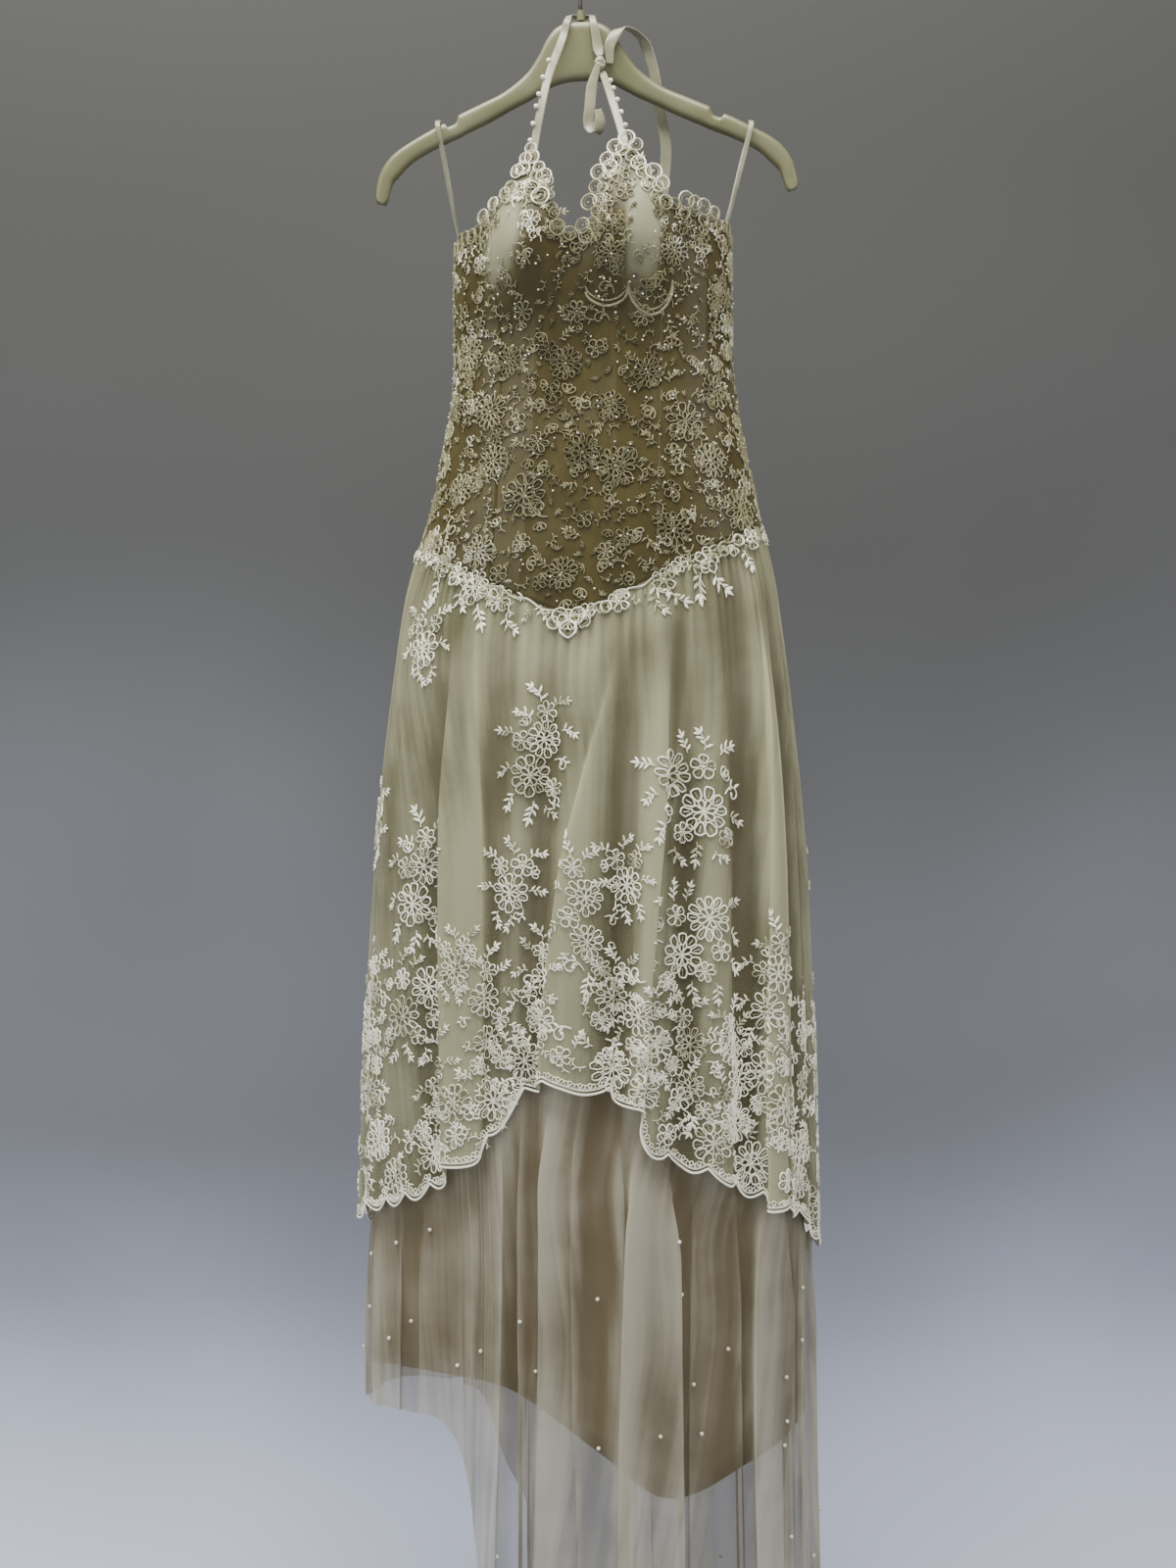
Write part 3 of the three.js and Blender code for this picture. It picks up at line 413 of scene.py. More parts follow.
def place_and_facing(surface, angle, down):
    """Points of a surface, and the way that it faces there, out of the dress."""
    here = surface(angle, down)
    sideways = surface(angle + STEP_ANGLE, down) - here
    downward = surface(angle, down + STEP_DOWN) - here
    normal = np.cross(downward, sideways)
    return here, normal / np.linalg.norm(normal, axis=-1, keepdims=True)


def lifted(surface, angle, down, lift):
    """Points this far off a surface, the way that it faces."""
    here, out = place_and_facing(surface, angle, down)
    return here + out * np.asarray(lift)[..., None]


# Meshes.

def make_object(name, points, faces, material, uv=None, values=None):
    """A smooth mesh from points in millimetres, with a value for each point and a flat layout if given."""
    mesh = bpy.data.meshes.new(name)
    mesh.from_pydata(np.asarray(points, float) * MM, [], np.asarray(faces))
    mesh.shade_smooth()
    if uv is not None:
        corners = np.zeros(len(mesh.loops), int)
        mesh.loops.foreach_get("vertex_index", corners)
        mesh.uv_layers.new(name="flat").data.foreach_set("uv", (np.asarray(uv) * MM)[corners].ravel())
    for key, value in (values or {}).items():
        mesh.attributes.new(key, "FLOAT", "POINT").data.foreach_set("value", np.asarray(value, np.float32))
    mesh.materials.append(material)
    made = bpy.data.objects.new(name, mesh)
    bpy.context.scene.collection.objects.link(made)
    return made


def grid_faces(columns, rows):
    """Quads of a grid with columns + 1 points in each of its rows + 1 rows."""
    i, j = np.meshgrid(np.arange(columns), np.arange(rows))
    corner = (j * (columns + 1) + i).ravel()
    return np.stack([corner, corner + 1, corner + columns + 2, corner + columns + 1], 1)[:, ::-1]


def thicken(piece, thickness):
    """Cloth with a wall, made inwards from its outside."""
    wall = piece.modifiers.new("wall", "SOLIDIFY")
    wall.thickness = thickness * MM
    wall.offset = -1
    return piece


def dress_piece(piece, slot, *nodes):
    """A piece that rides on the part's one body, in place of these solids. Its colour slot is not used."""
    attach(piece, BODY)
    if nodes:
        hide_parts(*nodes)
    return piece


# Materials, with the (place, colour) stops that their tones run through.

WARM = (0.95, 0.82, 0.5, 1)
SATIN_TONES = ((0.08, (0.036, 0.0275, 0.005)), (0.3, (0.064, 0.051, 0.0125)), (1.0, (0.25, 0.242, 0.155)))
OVER_TONES = ((0.1, (0.12, 0.112, 0.058)), (0.9, (0.37, 0.362, 0.222)))
UNDER_TONES = ((0.1, (0.115, 0.096, 0.055)), (0.9, (0.41, 0.378, 0.285)))
TAFFETA_TONES = ((0.3, (0.15, 0.107, 0.048)), (0.7, (0.2, 0.149, 0.075)))
LACE_TONES = ((0.1, (0.045, 0.037, 0.011)), (0.5, (0.27, 0.247, 0.13)), (1.0, (1.0, 0.965, 0.78)))
PEARL_TONES = ((0.3, (0.62, 0.59, 0.46)), (0.7, (0.80, 0.77, 0.64)))
RIBBON_TONES = ((0.3, (0.165, 0.158, 0.098)), (0.7, (0.235, 0.227, 0.152)))
PLASTIC_TONES = ((0.3, (0.108, 0.106, 0.05)), (0.75, (0.15, 0.148, 0.082)))
WIRE_TONES = ((0.3, (0.03, 0.028, 0.025)), (0.8, (0.10, 0.09, 0.08)))
# The backdrop's painted light: bright and bluish near the floor and darker up the wall.
BACKDROP_PAINTED_LIGHT = (
    (0.0, (0.43, 0.46, 0.58)),
    (0.35, (0.125, 0.13, 0.148)),
    (0.75, (0.046, 0.0465, 0.047)),
    (1.0, (0.038, 0.038, 0.036)),
)
# A weave's threads in metres, and the cells of the net to a metre.
FINE_THREAD = 0.0009
CROSS_THREAD = 0.0013
TAFFETA_THREAD = 0.0011
NET_CELLS = 620
# Bands of Blender's wave texture in one unit of its scale.
WAVE_BANDS = 20 / (2 * math.pi)


def new_material(name, **sockets):
    """A material and its main shader, with what is the same all over set on the shader itself."""
    material = bpy.data.materials.new(name)
    material.use_nodes = True
    shader = material.node_tree.nodes["Principled BSDF"]
    for socket, value in sockets.items():
        shader.inputs[socket.replace("_", " ").title().replace("Ior", "IOR")].default_value = value
    return material, shader


def add_node(material, kind, settings=None, **inputs):
    """A node with settings, and inputs that are values or other nodes' outputs. i2 is its input number 2."""
    node = material.node_tree.nodes.new(kind)
    for key, value in (settings or {}).items():
        setattr(node, key, value)
    for key, value in inputs.items():
        socket = node.inputs[int(key[1:])] if key[0] == "i" and key[1:].isdigit() else node.inputs[key]
        if isinstance(value, bpy.types.NodeSocket):
            material.node_tree.links.new(value, socket)
        else:
            socket.default_value = value
    return node


def link(material, output, socket):
    """Join a node's output to an input."""
    material.node_tree.links.new(output, socket)


def paint(material, shader, factor, stops):
    """A base colour that runs through (place, colour) stops as the factor grows."""
    node = add_node(material, "ShaderNodeValToRGB", Fac=factor)
    elements = node.color_ramp.elements
    while len(elements) < len(stops):
        elements.new(1)
    for element, (place, colour) in zip(elements, stops):
        element.position = place
        element.color = (*colour, 1)
    node.color_ramp.interpolation = "EASE"
    link(material, node.outputs["Color"], shader.inputs["Base Color"])


def flat_layout(material):
    """Places on the flat cloth, in metres."""
    return add_node(material, "ShaderNodeUVMap", {"uv_map": "flat"}).outputs["UV"]


def object_layout(material):
    """Places in the piece's own frame, in metres."""
    return add_node(material, "ShaderNodeTexCoord").outputs["Object"]


def attribute(material, name):
    """A value that each point of the mesh carries."""
    return add_node(material, "ShaderNodeAttribute", {"attribute_name": name}).outputs["Fac"]


def spread(material, value, low, high, least=0.0, most=1.0):
    """A value between low and high, brought to between least and most."""
    node = add_node(material, "ShaderNodeMapRange", Value=value, i1=low, i2=high, i3=least, i4=most)
    return node.outputs[0]


def noise(material, layout, scale, detail=3):
    """Soft clouds, about this many to a metre."""
    return add_node(material, "ShaderNodeTexNoise", Vector=layout, Scale=scale, Detail=detail).outputs["Fac"]


def threads(material, layout, pitch, way):
    """Even threads of a weave, this far apart in metres."""
    wave = add_node(material, "ShaderNodeTexWave", {"bands_direction": way}, Vector=layout,
                    Scale=1 / WAVE_BANDS / pitch, Distortion=0.6, Detail=1)
    return wave.outputs["Fac"]


def weave(material, layout, across, upright):
    """Threads both ways."""
    return arithmetic(material, "ADD", threads(material, layout, across, "X"),
                      threads(material, layout, upright, "Y"))


def creases(material, layout, across, upright):
    """Fine upright lines, this many to the metre across the cloth and along it."""
    drawn = add_node(material, "ShaderNodeVectorMath", {"operation": "MULTIPLY"}, i0=layout,
                     i1=(across, upright, 1.0)).outputs["Vector"]
    return noise(material, drawn, scale=1, detail=2)


def arithmetic(material, operation, *values):
    """One step of arithmetic on values or other nodes' outputs."""
    inputs = {f"i{k}": value for k, value in enumerate(values)}
    return add_node(material, "ShaderNodeMath", {"operation": operation}, **inputs).outputs[0]


def bump(material, shader, height, strength, distance):
    """A raised surface where the height is greater, in metres."""
    node = add_node(material, "ShaderNodeBump", Height=height, Strength=strength, Distance=distance)
    link(material, node.outputs["Normal"], shader.inputs["Normal"])


def satin_material():
    """Satin that is pale where it lies smooth on the cups, painted darker towards their foot as shade, and
    dull under the lace.
    """
    material, shader = new_material("ivory_satin", roughness=0.4, specular_ior_level=0.3, sheen_weight=0.08,
                                    sheen_tint=WARM, anisotropic=0.35)
    layout = flat_layout(material)
    cloud = noise(material, layout, scale=30)
    # The smooth patches' value carries painted shade, darker towards the foot of the cups.
    mixed = arithmetic(material, "MULTIPLY_ADD", cloud, 0.3, attribute(material, "bare_with_shade"))
    paint(material, shader, mixed, SATIN_TONES)
    bump(material, shader, weave(material, layout, FINE_THREAD, CROSS_THREAD), strength=0.12, distance=0.0002)
    return material


def tulle_material(name, stops, cover, fold_shade_strength):
    """Fine net. Where a fold stands edge-on, more threads lie behind each other and less shows through. Its
    colour is painted lighter on the folds' ridges and darker in their valleys, as shade.
    """
    material, shader = new_material(name, roughness=0.75, specular_ior_level=0.25, sheen_weight=0.2,
                                    sheen_roughness=0.45, sheen_tint=WARM)
    layout = flat_layout(material)
    cloud = arithmetic(material, "SUBTRACT", noise(material, layout, scale=9, detail=4), 0.3)
    lines = creases(material, layout, across=95, upright=2.2)
    uneven = arithmetic(material, "MULTIPLY_ADD", lines, 0.6, cloud)
    # Painted shade: the colour is lighter where the tulle stands out on a ridge and darker in a valley.
    painted_fold_shade = arithmetic(material, "MULTIPLY_ADD", attribute(material, "ridge"), fold_shade_strength, uneven)
    paint(material, shader, painted_fold_shade, stops)
    net = add_node(material, "ShaderNodeTexVoronoi", {"feature": "DISTANCE_TO_EDGE"}, Vector=layout,
                   Scale=NET_CELLS, Randomness=0.35).outputs["Distance"]
    hole = spread(material, net, 0.02, 0.22, least=0.8, most=1.12)
    clear = arithmetic(material, "POWER", 1 - cover, attribute(material, "layers"))
    shut = arithmetic(material, "SUBTRACT", 1.0, arithmetic(material, "MULTIPLY", clear, hole))
    link(material, shut, shader.inputs["Alpha"])
    bump(material, shader, net, strength=0.2, distance=0.0003)
    return material


def lining_material():
    """Plain taffeta."""
    material, shader = new_material("lining_taffeta", roughness=0.55, specular_ior_level=0.3,
                                    sheen_weight=0.1, sheen_tint=WARM)
    layout = flat_layout(material)
    paint(material, shader, noise(material, layout, scale=7, detail=4), TAFFETA_TONES)
    cross = weave(material, layout, TAFFETA_THREAD, TAFFETA_THREAD)
    bump(material, shader, cross, strength=0.15, distance=0.0002)
    return material


def lace_material():
    """Corded embroidery: bright cords, duller stitches between them, and a twist in the thread."""
    material, shader = new_material("lace_cord", roughness=0.45, specular_ior_level=0.4, sheen_weight=0.12,
                                    sheen_tint=WARM)
    stitches = noise(material, object_layout(material), scale=620, detail=2)
    uneven = arithmetic(material, "MULTIPLY_ADD", stitches, 1.3, 0.45)
    paint(material, shader, arithmetic(material, "MULTIPLY", attribute(material, "tone"), uneven), LACE_TONES)
    bump(material, shader, stitches, strength=0.5, distance=0.0008)
    return material


def pearl_material():
    """Glossy beads, each a little cloudy."""
    material, shader = new_material("pearl", roughness=0.16, coat_weight=0.6, coat_roughness=0.08)
    cloud = noise(material, object_layout(material), scale=180)
    paint(material, shader, cloud, PEARL_TONES)
    bump(material, shader, cloud, strength=0.05, distance=0.0003)
    return material


def ribbon_material():
    """Narrow satin ribbon with its ribs across it."""
    material, shader = new_material("satin_ribbon", roughness=0.36, sheen_weight=0.25, anisotropic=0.4)
    layout = flat_layout(material)
    paint(material, shader, noise(material, layout, scale=40), RIBBON_TONES)
    bump(material, shader, threads(material, layout, FINE_THREAD, "Y"), strength=0.15, distance=0.0002)
    return material


def plastic_material():
    """Milky moulded plastic."""
    material, shader = new_material("ivory_plastic", roughness=0.32)
    layout = object_layout(material)
    paint(material, shader, noise(material, layout, scale=14, detail=5), PLASTIC_TONES)
    bump(material, shader, noise(material, layout, scale=420), strength=0.06, distance=0.0004)
    return material


def wire_material():
    """Dark steel wire."""
    material, shader = new_material("dark_wire", metallic=0.9, roughness=0.35)
    cloud = noise(material, object_layout(material), scale=90)
    paint(material, shader, cloud, WIRE_TONES)
    bump(material, shader, cloud, strength=0.08, distance=0.0003)
    return material


SATIN = satin_material()
OVER_TULLE = tulle_material("overskirt_tulle", OVER_TONES, cover=0.52, fold_shade_strength=0.05)
UNDER_TULLE = tulle_material("underskirt_tulle", UNDER_TONES, cover=0.55, fold_shade_strength=0.042)
TAFFETA = lining_material()
LACE = lace_material()
PEARL = pearl_material()
RIBBON = ribbon_material()
PLASTIC = plastic_material()
WIRE = wire_material()


# Cloth. A ridge is measured against this share of the sheet on either side. Tulle is painted lighter on a
# ridge and darker in a valley, as shade, and is made thinner in a valley so that the darker cloth under it
# shows.

RIDGE_SPAN = 0.075
RIDGE_LIGHT = 0.7
VALLEY_SHADE = 1.4
# Painted shade: how much thicker tulle is made on a ridge and thinner in a valley.
HEAPED_SHADE = {"reach": 16, "least": 0.6, "most": 1.7}
EDGE_ON = {"least": 0.3, "most": 3}
SATIN_WALL = BODICE_WALL - 0.6


def ridges(height):
    """How far each point of a sheet stands out from the cloth on either side of it."""
    span = int(RIDGE_SPAN * height.shape[1])
    padded = np.pad(height, ((0, 0), (span, span)), mode="edge")
    total = np.cumsum(np.pad(padded, ((0, 0), (1, 0))), axis=1)
    width = 2 * span + 1
    return height - (total[:, width:] - total[:, :-width]) / width


def sheer_values(points, out, angle, down, shape):
    """How far tulle stands out from the cloth beside it, painted on it as light on ridges and shade in
    valleys, and how many layers of it are looked through, fewer in valleys as painted shade.
    """
    body = on_body(angle, down, 0)
    body_out = on_body(angle, down, 1) - body
    facing = np.abs((out * body_out).sum(-1))
    ridge = ridges(((points - body) * body_out).sum(-1).reshape(shape)).ravel()
    heaped_shade = np.clip(1 + ridge / HEAPED_SHADE["reach"], HEAPED_SHADE["least"], HEAPED_SHADE["most"])
    return {
        "ridge": ridge * np.where(ridge > 0, RIDGE_LIGHT, VALLEY_SHADE),
        "layers": heaped_shade * np.clip(1 / np.maximum(facing, EDGE_ON["least"]), 1, EDGE_ON["most"]),
    }


def cloth(name, surface, place, columns, rows, material, sheer=False, bare_with_shade=False):
    """A sheet on a surface. place(u, v) gives its angles and distances down, for u and v from 0 to 1."""
    u, v = np.meshgrid(np.linspace(0, 1, columns + 1), np.linspace(0, 1, rows + 1))
    angle, down = place(u.ravel(), v.ravel())
    points, out = place_and_facing(surface, angle, down)
    values = {}
    if sheer:
        values = sheer_values(points, out, angle, down, u.shape)
    if bare_with_shade:
        values["bare_with_shade"] = bare_satin_with_shade(angle, down)
    steps = np.linalg.norm(np.diff(points.reshape(rows + 1, columns + 1, 3), axis=1), axis=2)
    across = np.concatenate([np.zeros((rows + 1, 1)), np.cumsum(steps, 1)], 1)
    uv = np.stack([(across - across[:, -1:] / 2).ravel(), -down], 1)
    return make_object(name, points, grid_faces(columns, rows), material, uv, values)


SEAM_PASSES = 5


def bodice_panel(name, left, right, columns, rows):
    """A bodice panel between two seams, which may lean."""
    def place(u, v):
        """The angles and distances down at shares of the panel."""
        def angle_at(down):
            """The angles at these distances down."""
            return left(down) + (right(down) - left(down)) * u
        foot = np.full_like(u, WAIST_SIDE)
        for _ in range(SEAM_PASSES):
            foot = waist_at(angle_at(foot))
        top = neckline_at(angle_at(NECKLINE["down"][0]))
        down = top + (foot - top) * v
        return angle_at(down), down
    return thicken(cloth(name + "_satin", bodice, place, columns, rows, SATIN, bare_with_shade=True), SATIN_WALL)


def skirt_panel(name, surface, hem, start, columns, rows, material, sheer, scallop=0):
    """Half of a skirt layer, from the waist to its hem."""
    def place(u, v):
        """The angles and distances down at shares of the panel."""
        angle = start + 180 * u
        foot = along(hem, "angle", angle, "down") + scallop * hem_scallop(angle)
        top = waist_at(angle)
        return angle, top + (foot - top) * v
    return cloth(name, surface, place, columns, rows, material, sheer)


def hem_scallop(angle):
    """How far the scallops of the lace hem reach below it."""
    return HEM_LACE["height"] * np.abs(np.sin(np.pi * angle / HEM_LACE["pitch"]))


def steady(angle):
    """A seam that runs straight down."""
    return lambda down: angle + 0 * down


def left_princess(down):
    """The left one of the front's seams."""
    return -princess_at(down)


# The bodice's panels: the seams to either side, and the columns and rows of the mesh.
PANEL_CUTS = {
    "bodice_front": (left_princess, princess_at, 84, 90),
    "bodice_side_left": (steady(-90), left_princess, 40, 70),
    "bodice_side_right": (princess_at, steady(90), 40, 70),
    "bodice_back_right": (steady(90), steady(180), 44, 64),
    "bodice_back_left": (steady(180), steady(270), 44, 64),
}
BODICE_PANELS = {panel_name: bodice_panel(panel_name, *row) for panel_name, row in PANEL_CUTS.items()}
for panel_name, panel in BODICE_PANELS.items():
    dress_piece(panel, "bodice_cloth", panel_name)

# The skirt's layers from the inside out: surface, hem, cloth, kind, colour slot and share of the scallops.
SKIRT_LAYERS = {
    "lining": (lining, LINING_HEM, TAFFETA, "cloth", "lining_cloth", 0),
    "underskirt": (underskirt, UNDERSKIRT_HEM, UNDER_TULLE, "tulle", "tulle", 0),
    "overskirt": (overskirt, OVERSKIRT_HEM, OVER_TULLE, "tulle", "tulle", 1),
}
SKIRT_HALVES = {"front": -90, "back": 90}
SKIRT_GRIDS = {
    "lining_front": (110, 44),
    "lining_back": (90, 40),
    "underskirt_front": (420, 96),
    "underskirt_back": (300, 84),
    "overskirt_front": (480, 90),
    "overskirt_back": (340, 80),
}
SKIRT_PANELS = {}
for layer, (surface, hem, material, kind, slot, scallop) in SKIRT_LAYERS.items():
    for half, start in SKIRT_HALVES.items():
        panel_name = f"{layer}_{half}"
        columns, rows = SKIRT_GRIDS[panel_name]
        panel = skirt_panel(f"{panel_name}_{kind}", surface, hem, start, columns, rows, material,
                            sheer=kind == "tulle", scallop=scallop)
        SKIRT_PANELS[panel_name] = dress_piece(panel, slot, panel_name)
for panel_name in ("lining_front", "lining_back"):
    thicken(SKIRT_PANELS[panel_name], LINING_WALL / 2)


# Lace motifs, laid out flat: x across, y up and z off the cloth.

class Motif:
    """Cords of lace as one flat mesh, with a tone for each point."""

    def __init__(self):
        self.parts = []

    def add(self, points, quads, tone):
        """Add a cord of one tone."""
        self.parts.append((points, quads, np.full(len(points), float(tone))))

    def arrays(self):
        """All points, quads and tones, each as one array."""
        counts = np.cumsum([0] + [len(points) for points, _, _ in self.parts])
        quads = np.concatenate([q + start for (_, q, _), start in zip(self.parts, counts)])
        points = np.concatenate([p for p, _, _ in self.parts])
        return points, quads, np.concatenate([t for _, _, t in self.parts])

    def laid(self, turn, size, flip):
        """The same arrays, with the motif turned, sized and perhaps mirrored."""
        points, quads, tone = self.arrays()
        a = math.radians(turn)
        flat_x = points[:, 0] * size * flip
        flat_y = points[:, 1] * size
        moved = np.stack([
            flat_x * math.cos(a) - flat_y * math.sin(a),
            flat_x * math.sin(a) + flat_y * math.cos(a),
            points[:, 2],
        ], 1)
        return moved, quads if flip > 0 else quads[:, ::-1], tone


def strip_quads(count, closed):
    """Quads of a cord: a row of points on either side of its crest."""
    last = count if closed else count - 1
    i = np.arange(last)
    j = (i + 1) % count
    left = np.stack([i, count + i, count + j, j], 1)
    right = np.stack([count + i, 2 * count + i, 2 * count + j, count + j], 1)
    return np.concatenate([left, right])


def cord(motif, path, wide, high, tone=1.0, closed=False):
    """A stitched cord along a flat path: a low ridge, this wide and high."""
    path = np.asarray(path, float)
    ahead = np.roll(path, -1, 0) - np.roll(path, 1, 0)
    if not closed:
        ahead[0] = path[1] - path[0]
        ahead[-1] = path[-1] - path[-2]
    ahead /= np.maximum(np.linalg.norm(ahead, axis=1, keepdims=True), 1e-6)
    side = np.stack([-ahead[:, 1], ahead[:, 0]], 1) * (np.broadcast_to(wide, len(path))[:, None] / 2)
    count = len(path)
    flat = np.concatenate([path + side, path, path - side])
    lift = np.repeat([0.0, high, 0.0], count)
    motif.add(np.column_stack([flat, lift]), strip_quads(count, closed), tone)


# A knot of thread as a short cord: its stops and the square of its least half width.
DOT_STOPS = np.array([-1, -0.5, 0.5, 1])
DOT_LEAST = 0.02
# The loop of a petal: how much of its width grows towards its far end, and how far it swells there.
LOOP_FULLNESS = 0.4
LOOP_SWELL = 1.3
# A leaf's points, how round it is, the width of its tips, its bend and its height.
LEAF = {"points": 5, "round": 0.8, "tip": 0.25, "bend": 0.1, "high": 1.0}
# How much shorter the steps of a tightening stem are at its end.
STEM_SHRINK = 0.45


def dot(motif, x, y, radius, high=1.2, tone=1.0):
    """A knot of thread."""
    reach = DOT_STOPS * radius
    wide = 2 * np.sqrt(np.maximum(radius**2 - reach**2, DOT_LEAST))
    cord(motif, np.column_stack([x + reach, np.full(len(reach), y)]), wide, high, tone)


def loop_path(length, half_wide, points):
    """A round-ended loop from the origin up, wider towards its far end."""
    t = np.linspace(0, 2 * np.pi, points, endpoint=False)
    far = (1 - np.cos(t)) / 2
    wider = 1 - LOOP_FULLNESS + LOOP_FULLNESS * far * LOOP_SWELL
    return np.column_stack([half_wide * np.sin(t) * wider, length * far])


def turned(path, degrees):
    """A flat path, turned about the origin."""
    a = math.radians(degrees)
    return path @ np.array([[math.cos(a), math.sin(a)], [-math.sin(a), math.cos(a)]])


# What differs from petal to petal, as shares of its place, reach, width and tone.
WOBBLE = 0.018
PETAL_SHIFT = (-0.12, 0.12)
PETAL_REACH = (0.86, 1.08)
PETAL_WIDTH = (0.85, 1.08)
PETAL_TONE = (0.75, 1.05)
PETAL_HIGH = 1.5
PETAL_OVERLAP = 0.98
# The stitch bars in a petal: their ends as shares of its width and reach, their section and tone.
BAR = {"start": (0.6, 0.25), "end": (1.1, 0.78), "wide": 0.9, "high": 0.9, "tone": (0.4, 0.8)}


def petal_ring(motif, rng, inner, outer, petals, wide, points, bars=()):
    """A ring of corded loops that overlap a little, with stitch bars in them."""
    half = (inner + outer) / 2 * math.tan(math.pi / petals) * PETAL_OVERLAP
    for k in range(petals):
        way = 360 * (k + rng.uniform(*PETAL_SHIFT)) / petals
        reach = (outer - inner) * rng.uniform(*PETAL_REACH)
        petal = loop_path(reach, half * rng.uniform(*PETAL_WIDTH), points) + (0, inner)
        petal = petal + rng.normal(0, WOBBLE * outer, petal.shape)
        cord(motif, turned(petal, way), wide, PETAL_HIGH, rng.uniform(*PETAL_TONE), closed=True)
        for spot in bars:
            ends = [(spot * half * across, inner + reach * up) for across, up in (BAR["start"], BAR["end"])]
            path = turned(np.array(ends), way)
            cord(motif, path, BAR["wide"], BAR["high"], rng.uniform(*BAR["tone"]))


def rosette(rng, radius=22.0, petals=(10, 13)):
    """A flower of two rings of corded loops round a knot."""
    motif = Motif()
    outer_petals = int(rng.integers(*petals))
    petal_ring(motif, rng, 0.44 * radius, radius, outer_petals, wide=1.5, points=10, bars=(0,))
    petal_ring(motif, rng, 0.1 * radius, 0.52 * radius, petals=7, wide=1.4, points=8)
    dot(motif, 0, 0, 0.1 * radius, high=1.7, tone=0.9)
    return motif


def small_rosette(rng, radius=12.5, petals=(5, 8)):
    """A flower of one ring of loops."""
    motif = Motif()
    count = int(rng.integers(*petals))
    petal_ring(motif, rng, 0.22 * radius, radius, count, wide=1.5, points=10, bars=(0,))
    dot(motif, 0, 0, 0.16 * radius, high=1.6, tone=0.9)
    return motif


def aster(rng, radius=19.0):
    """A full flower of many narrow loops, one ring inside the other."""
    motif = Motif()
    petal_ring(motif, rng, 0.48 * radius, radius, petals=14, wide=1.25, points=8)
    petal_ring(motif, rng, 0.16 * radius, 0.56 * radius, petals=8, wide=1.2, points=8)
    dot(motif, 0, 0, 0.12 * radius, high=1.5, tone=0.9)
    return motif


def leaf(motif, x, y, turn, length, wide, tone=1.0):
    """A filled leaf: one broad stitch with a ridge."""
    t = np.linspace(0, 1, LEAF["points"])
    bulge = np.sin(np.pi * t)
    shape = np.maximum(wide * bulge ** LEAF["round"], LEAF["tip"])
    path = turned(np.column_stack([LEAF["bend"] * wide * bulge, length * t]), turn) + (x, y)
    cord(motif, path, shape, LEAF["high"], tone)


def stem_path(length, curl, steps, tighten=1.0):
    """A stem that starts up and turns by curl degrees in all, more towards its end if it tightens."""
    t = np.linspace(0, 1, steps)
    heading = np.radians(90 + curl * t**tighten)
    stride = length / steps * (1 - STEM_SHRINK * t * (tighten > 1))
    path = np.cumsum(np.column_stack([np.cos(heading), np.sin(heading)]) * stride[:, None], 0)
    return np.concatenate([[[0, 0]], path]), np.degrees(np.concatenate([[math.pi / 2], heading])) - 90


def trefoil(rng, length=16.0, side_leaves=4):
    """A thin bent stem with three leaves at its tip and some on its sides."""
    motif = Motif()
    path, heading = stem_path(length, rng.uniform(5, 60), steps=6)
    cord(motif, path, wide=1.1, high=0.9, tone=0.8)
    for side, size in ((-45, 7), (0, 9), (42, 7)):
        way = heading[-1] + side + rng.uniform(-8, 8)
        leaf(motif, *path[-1], way, length=size * rng.uniform(0.85, 1.1), wide=2.7)
    for k in range(side_leaves):
        side = (-1, 1)[k % 2]
        way = heading[1 + k] + side * rng.uniform(40, 62)
        leaf(motif, *path[1 + k], way, length=rng.uniform(6, 9), wide=2.6, tone=rng.uniform(0.75, 1))
    return motif


def scroll(rng, length=58.0, bend=330.0):
    """A cord that curls up to a ball, with leaves on either side."""
    motif = Motif()
    path, heading = stem_path(length, bend, steps=20, tighten=1.5)
    cord(motif, path, wide=np.linspace(1.5, 1.9, len(path)), high=1.1)
    dot(motif, *path[-1], radius=2.4, high=1.5)
    for i, side in ((5, -1), (8, -1), (3, 1)):
        way = heading[i] + side * rng.uniform(40, 60)
        leaf(motif, *path[i], way, length=rng.uniform(7, 10), wide=3.4)
    return motif


def curl(rng, length=27.0, bend=210.0):
    """A short cord bent round, with strokes of thread along its back."""
    motif = Motif()
    length = length * rng.uniform(0.8, 1.2)
    path, heading = stem_path(length, bend * rng.uniform(0.6, 1.2), steps=10, tighten=1.3)
    cord(motif, path, wide=np.linspace(0.9, 1.4, len(path)), high=1.1, tone=rng.uniform(0.7, 1.05))
    for i in (2, 4, 6, 8):
        way = heading[i] - rng.uniform(45, 80)
        leaf(motif, *path[i], way, length=rng.uniform(4, 7.5), wide=1.7, tone=rng.uniform(0.5, 1.1))
    return motif


def tuft(rng, size=8.5):
    """Short stitches that fan out of one point."""
    motif = Motif()
    for way in (-70, -35, 0, 35, 70):
        turn = way + rng.uniform(-14, 14)
        leaf(motif, 0, 0, turn, size * rng.uniform(0.6, 1.15), wide=1.7, tone=rng.uniform(0.5, 1.1))
    return motif


def bubble(rng, radius=6.6):
    """A ring of the neck edging: two cords round a stitched middle."""
    motif = Motif()
    t = np.linspace(0, 2 * np.pi, 14, endpoint=False)
    ring = np.column_stack([np.cos(t), np.sin(t)])
    outer = ring * radius + rng.normal(0, 0.12, ring.shape)
    cord(motif, outer, wide=1.6, high=1.7, closed=True)
    cord(motif, ring * radius * 0.62, wide=0.9, high=1.0, tone=0.5, closed=True)
    dot(motif, rng.uniform(-0.6, 0.6), rng.uniform(-0.6, 0.6), radius=1.1, high=1.0, tone=0.7)
    return motif


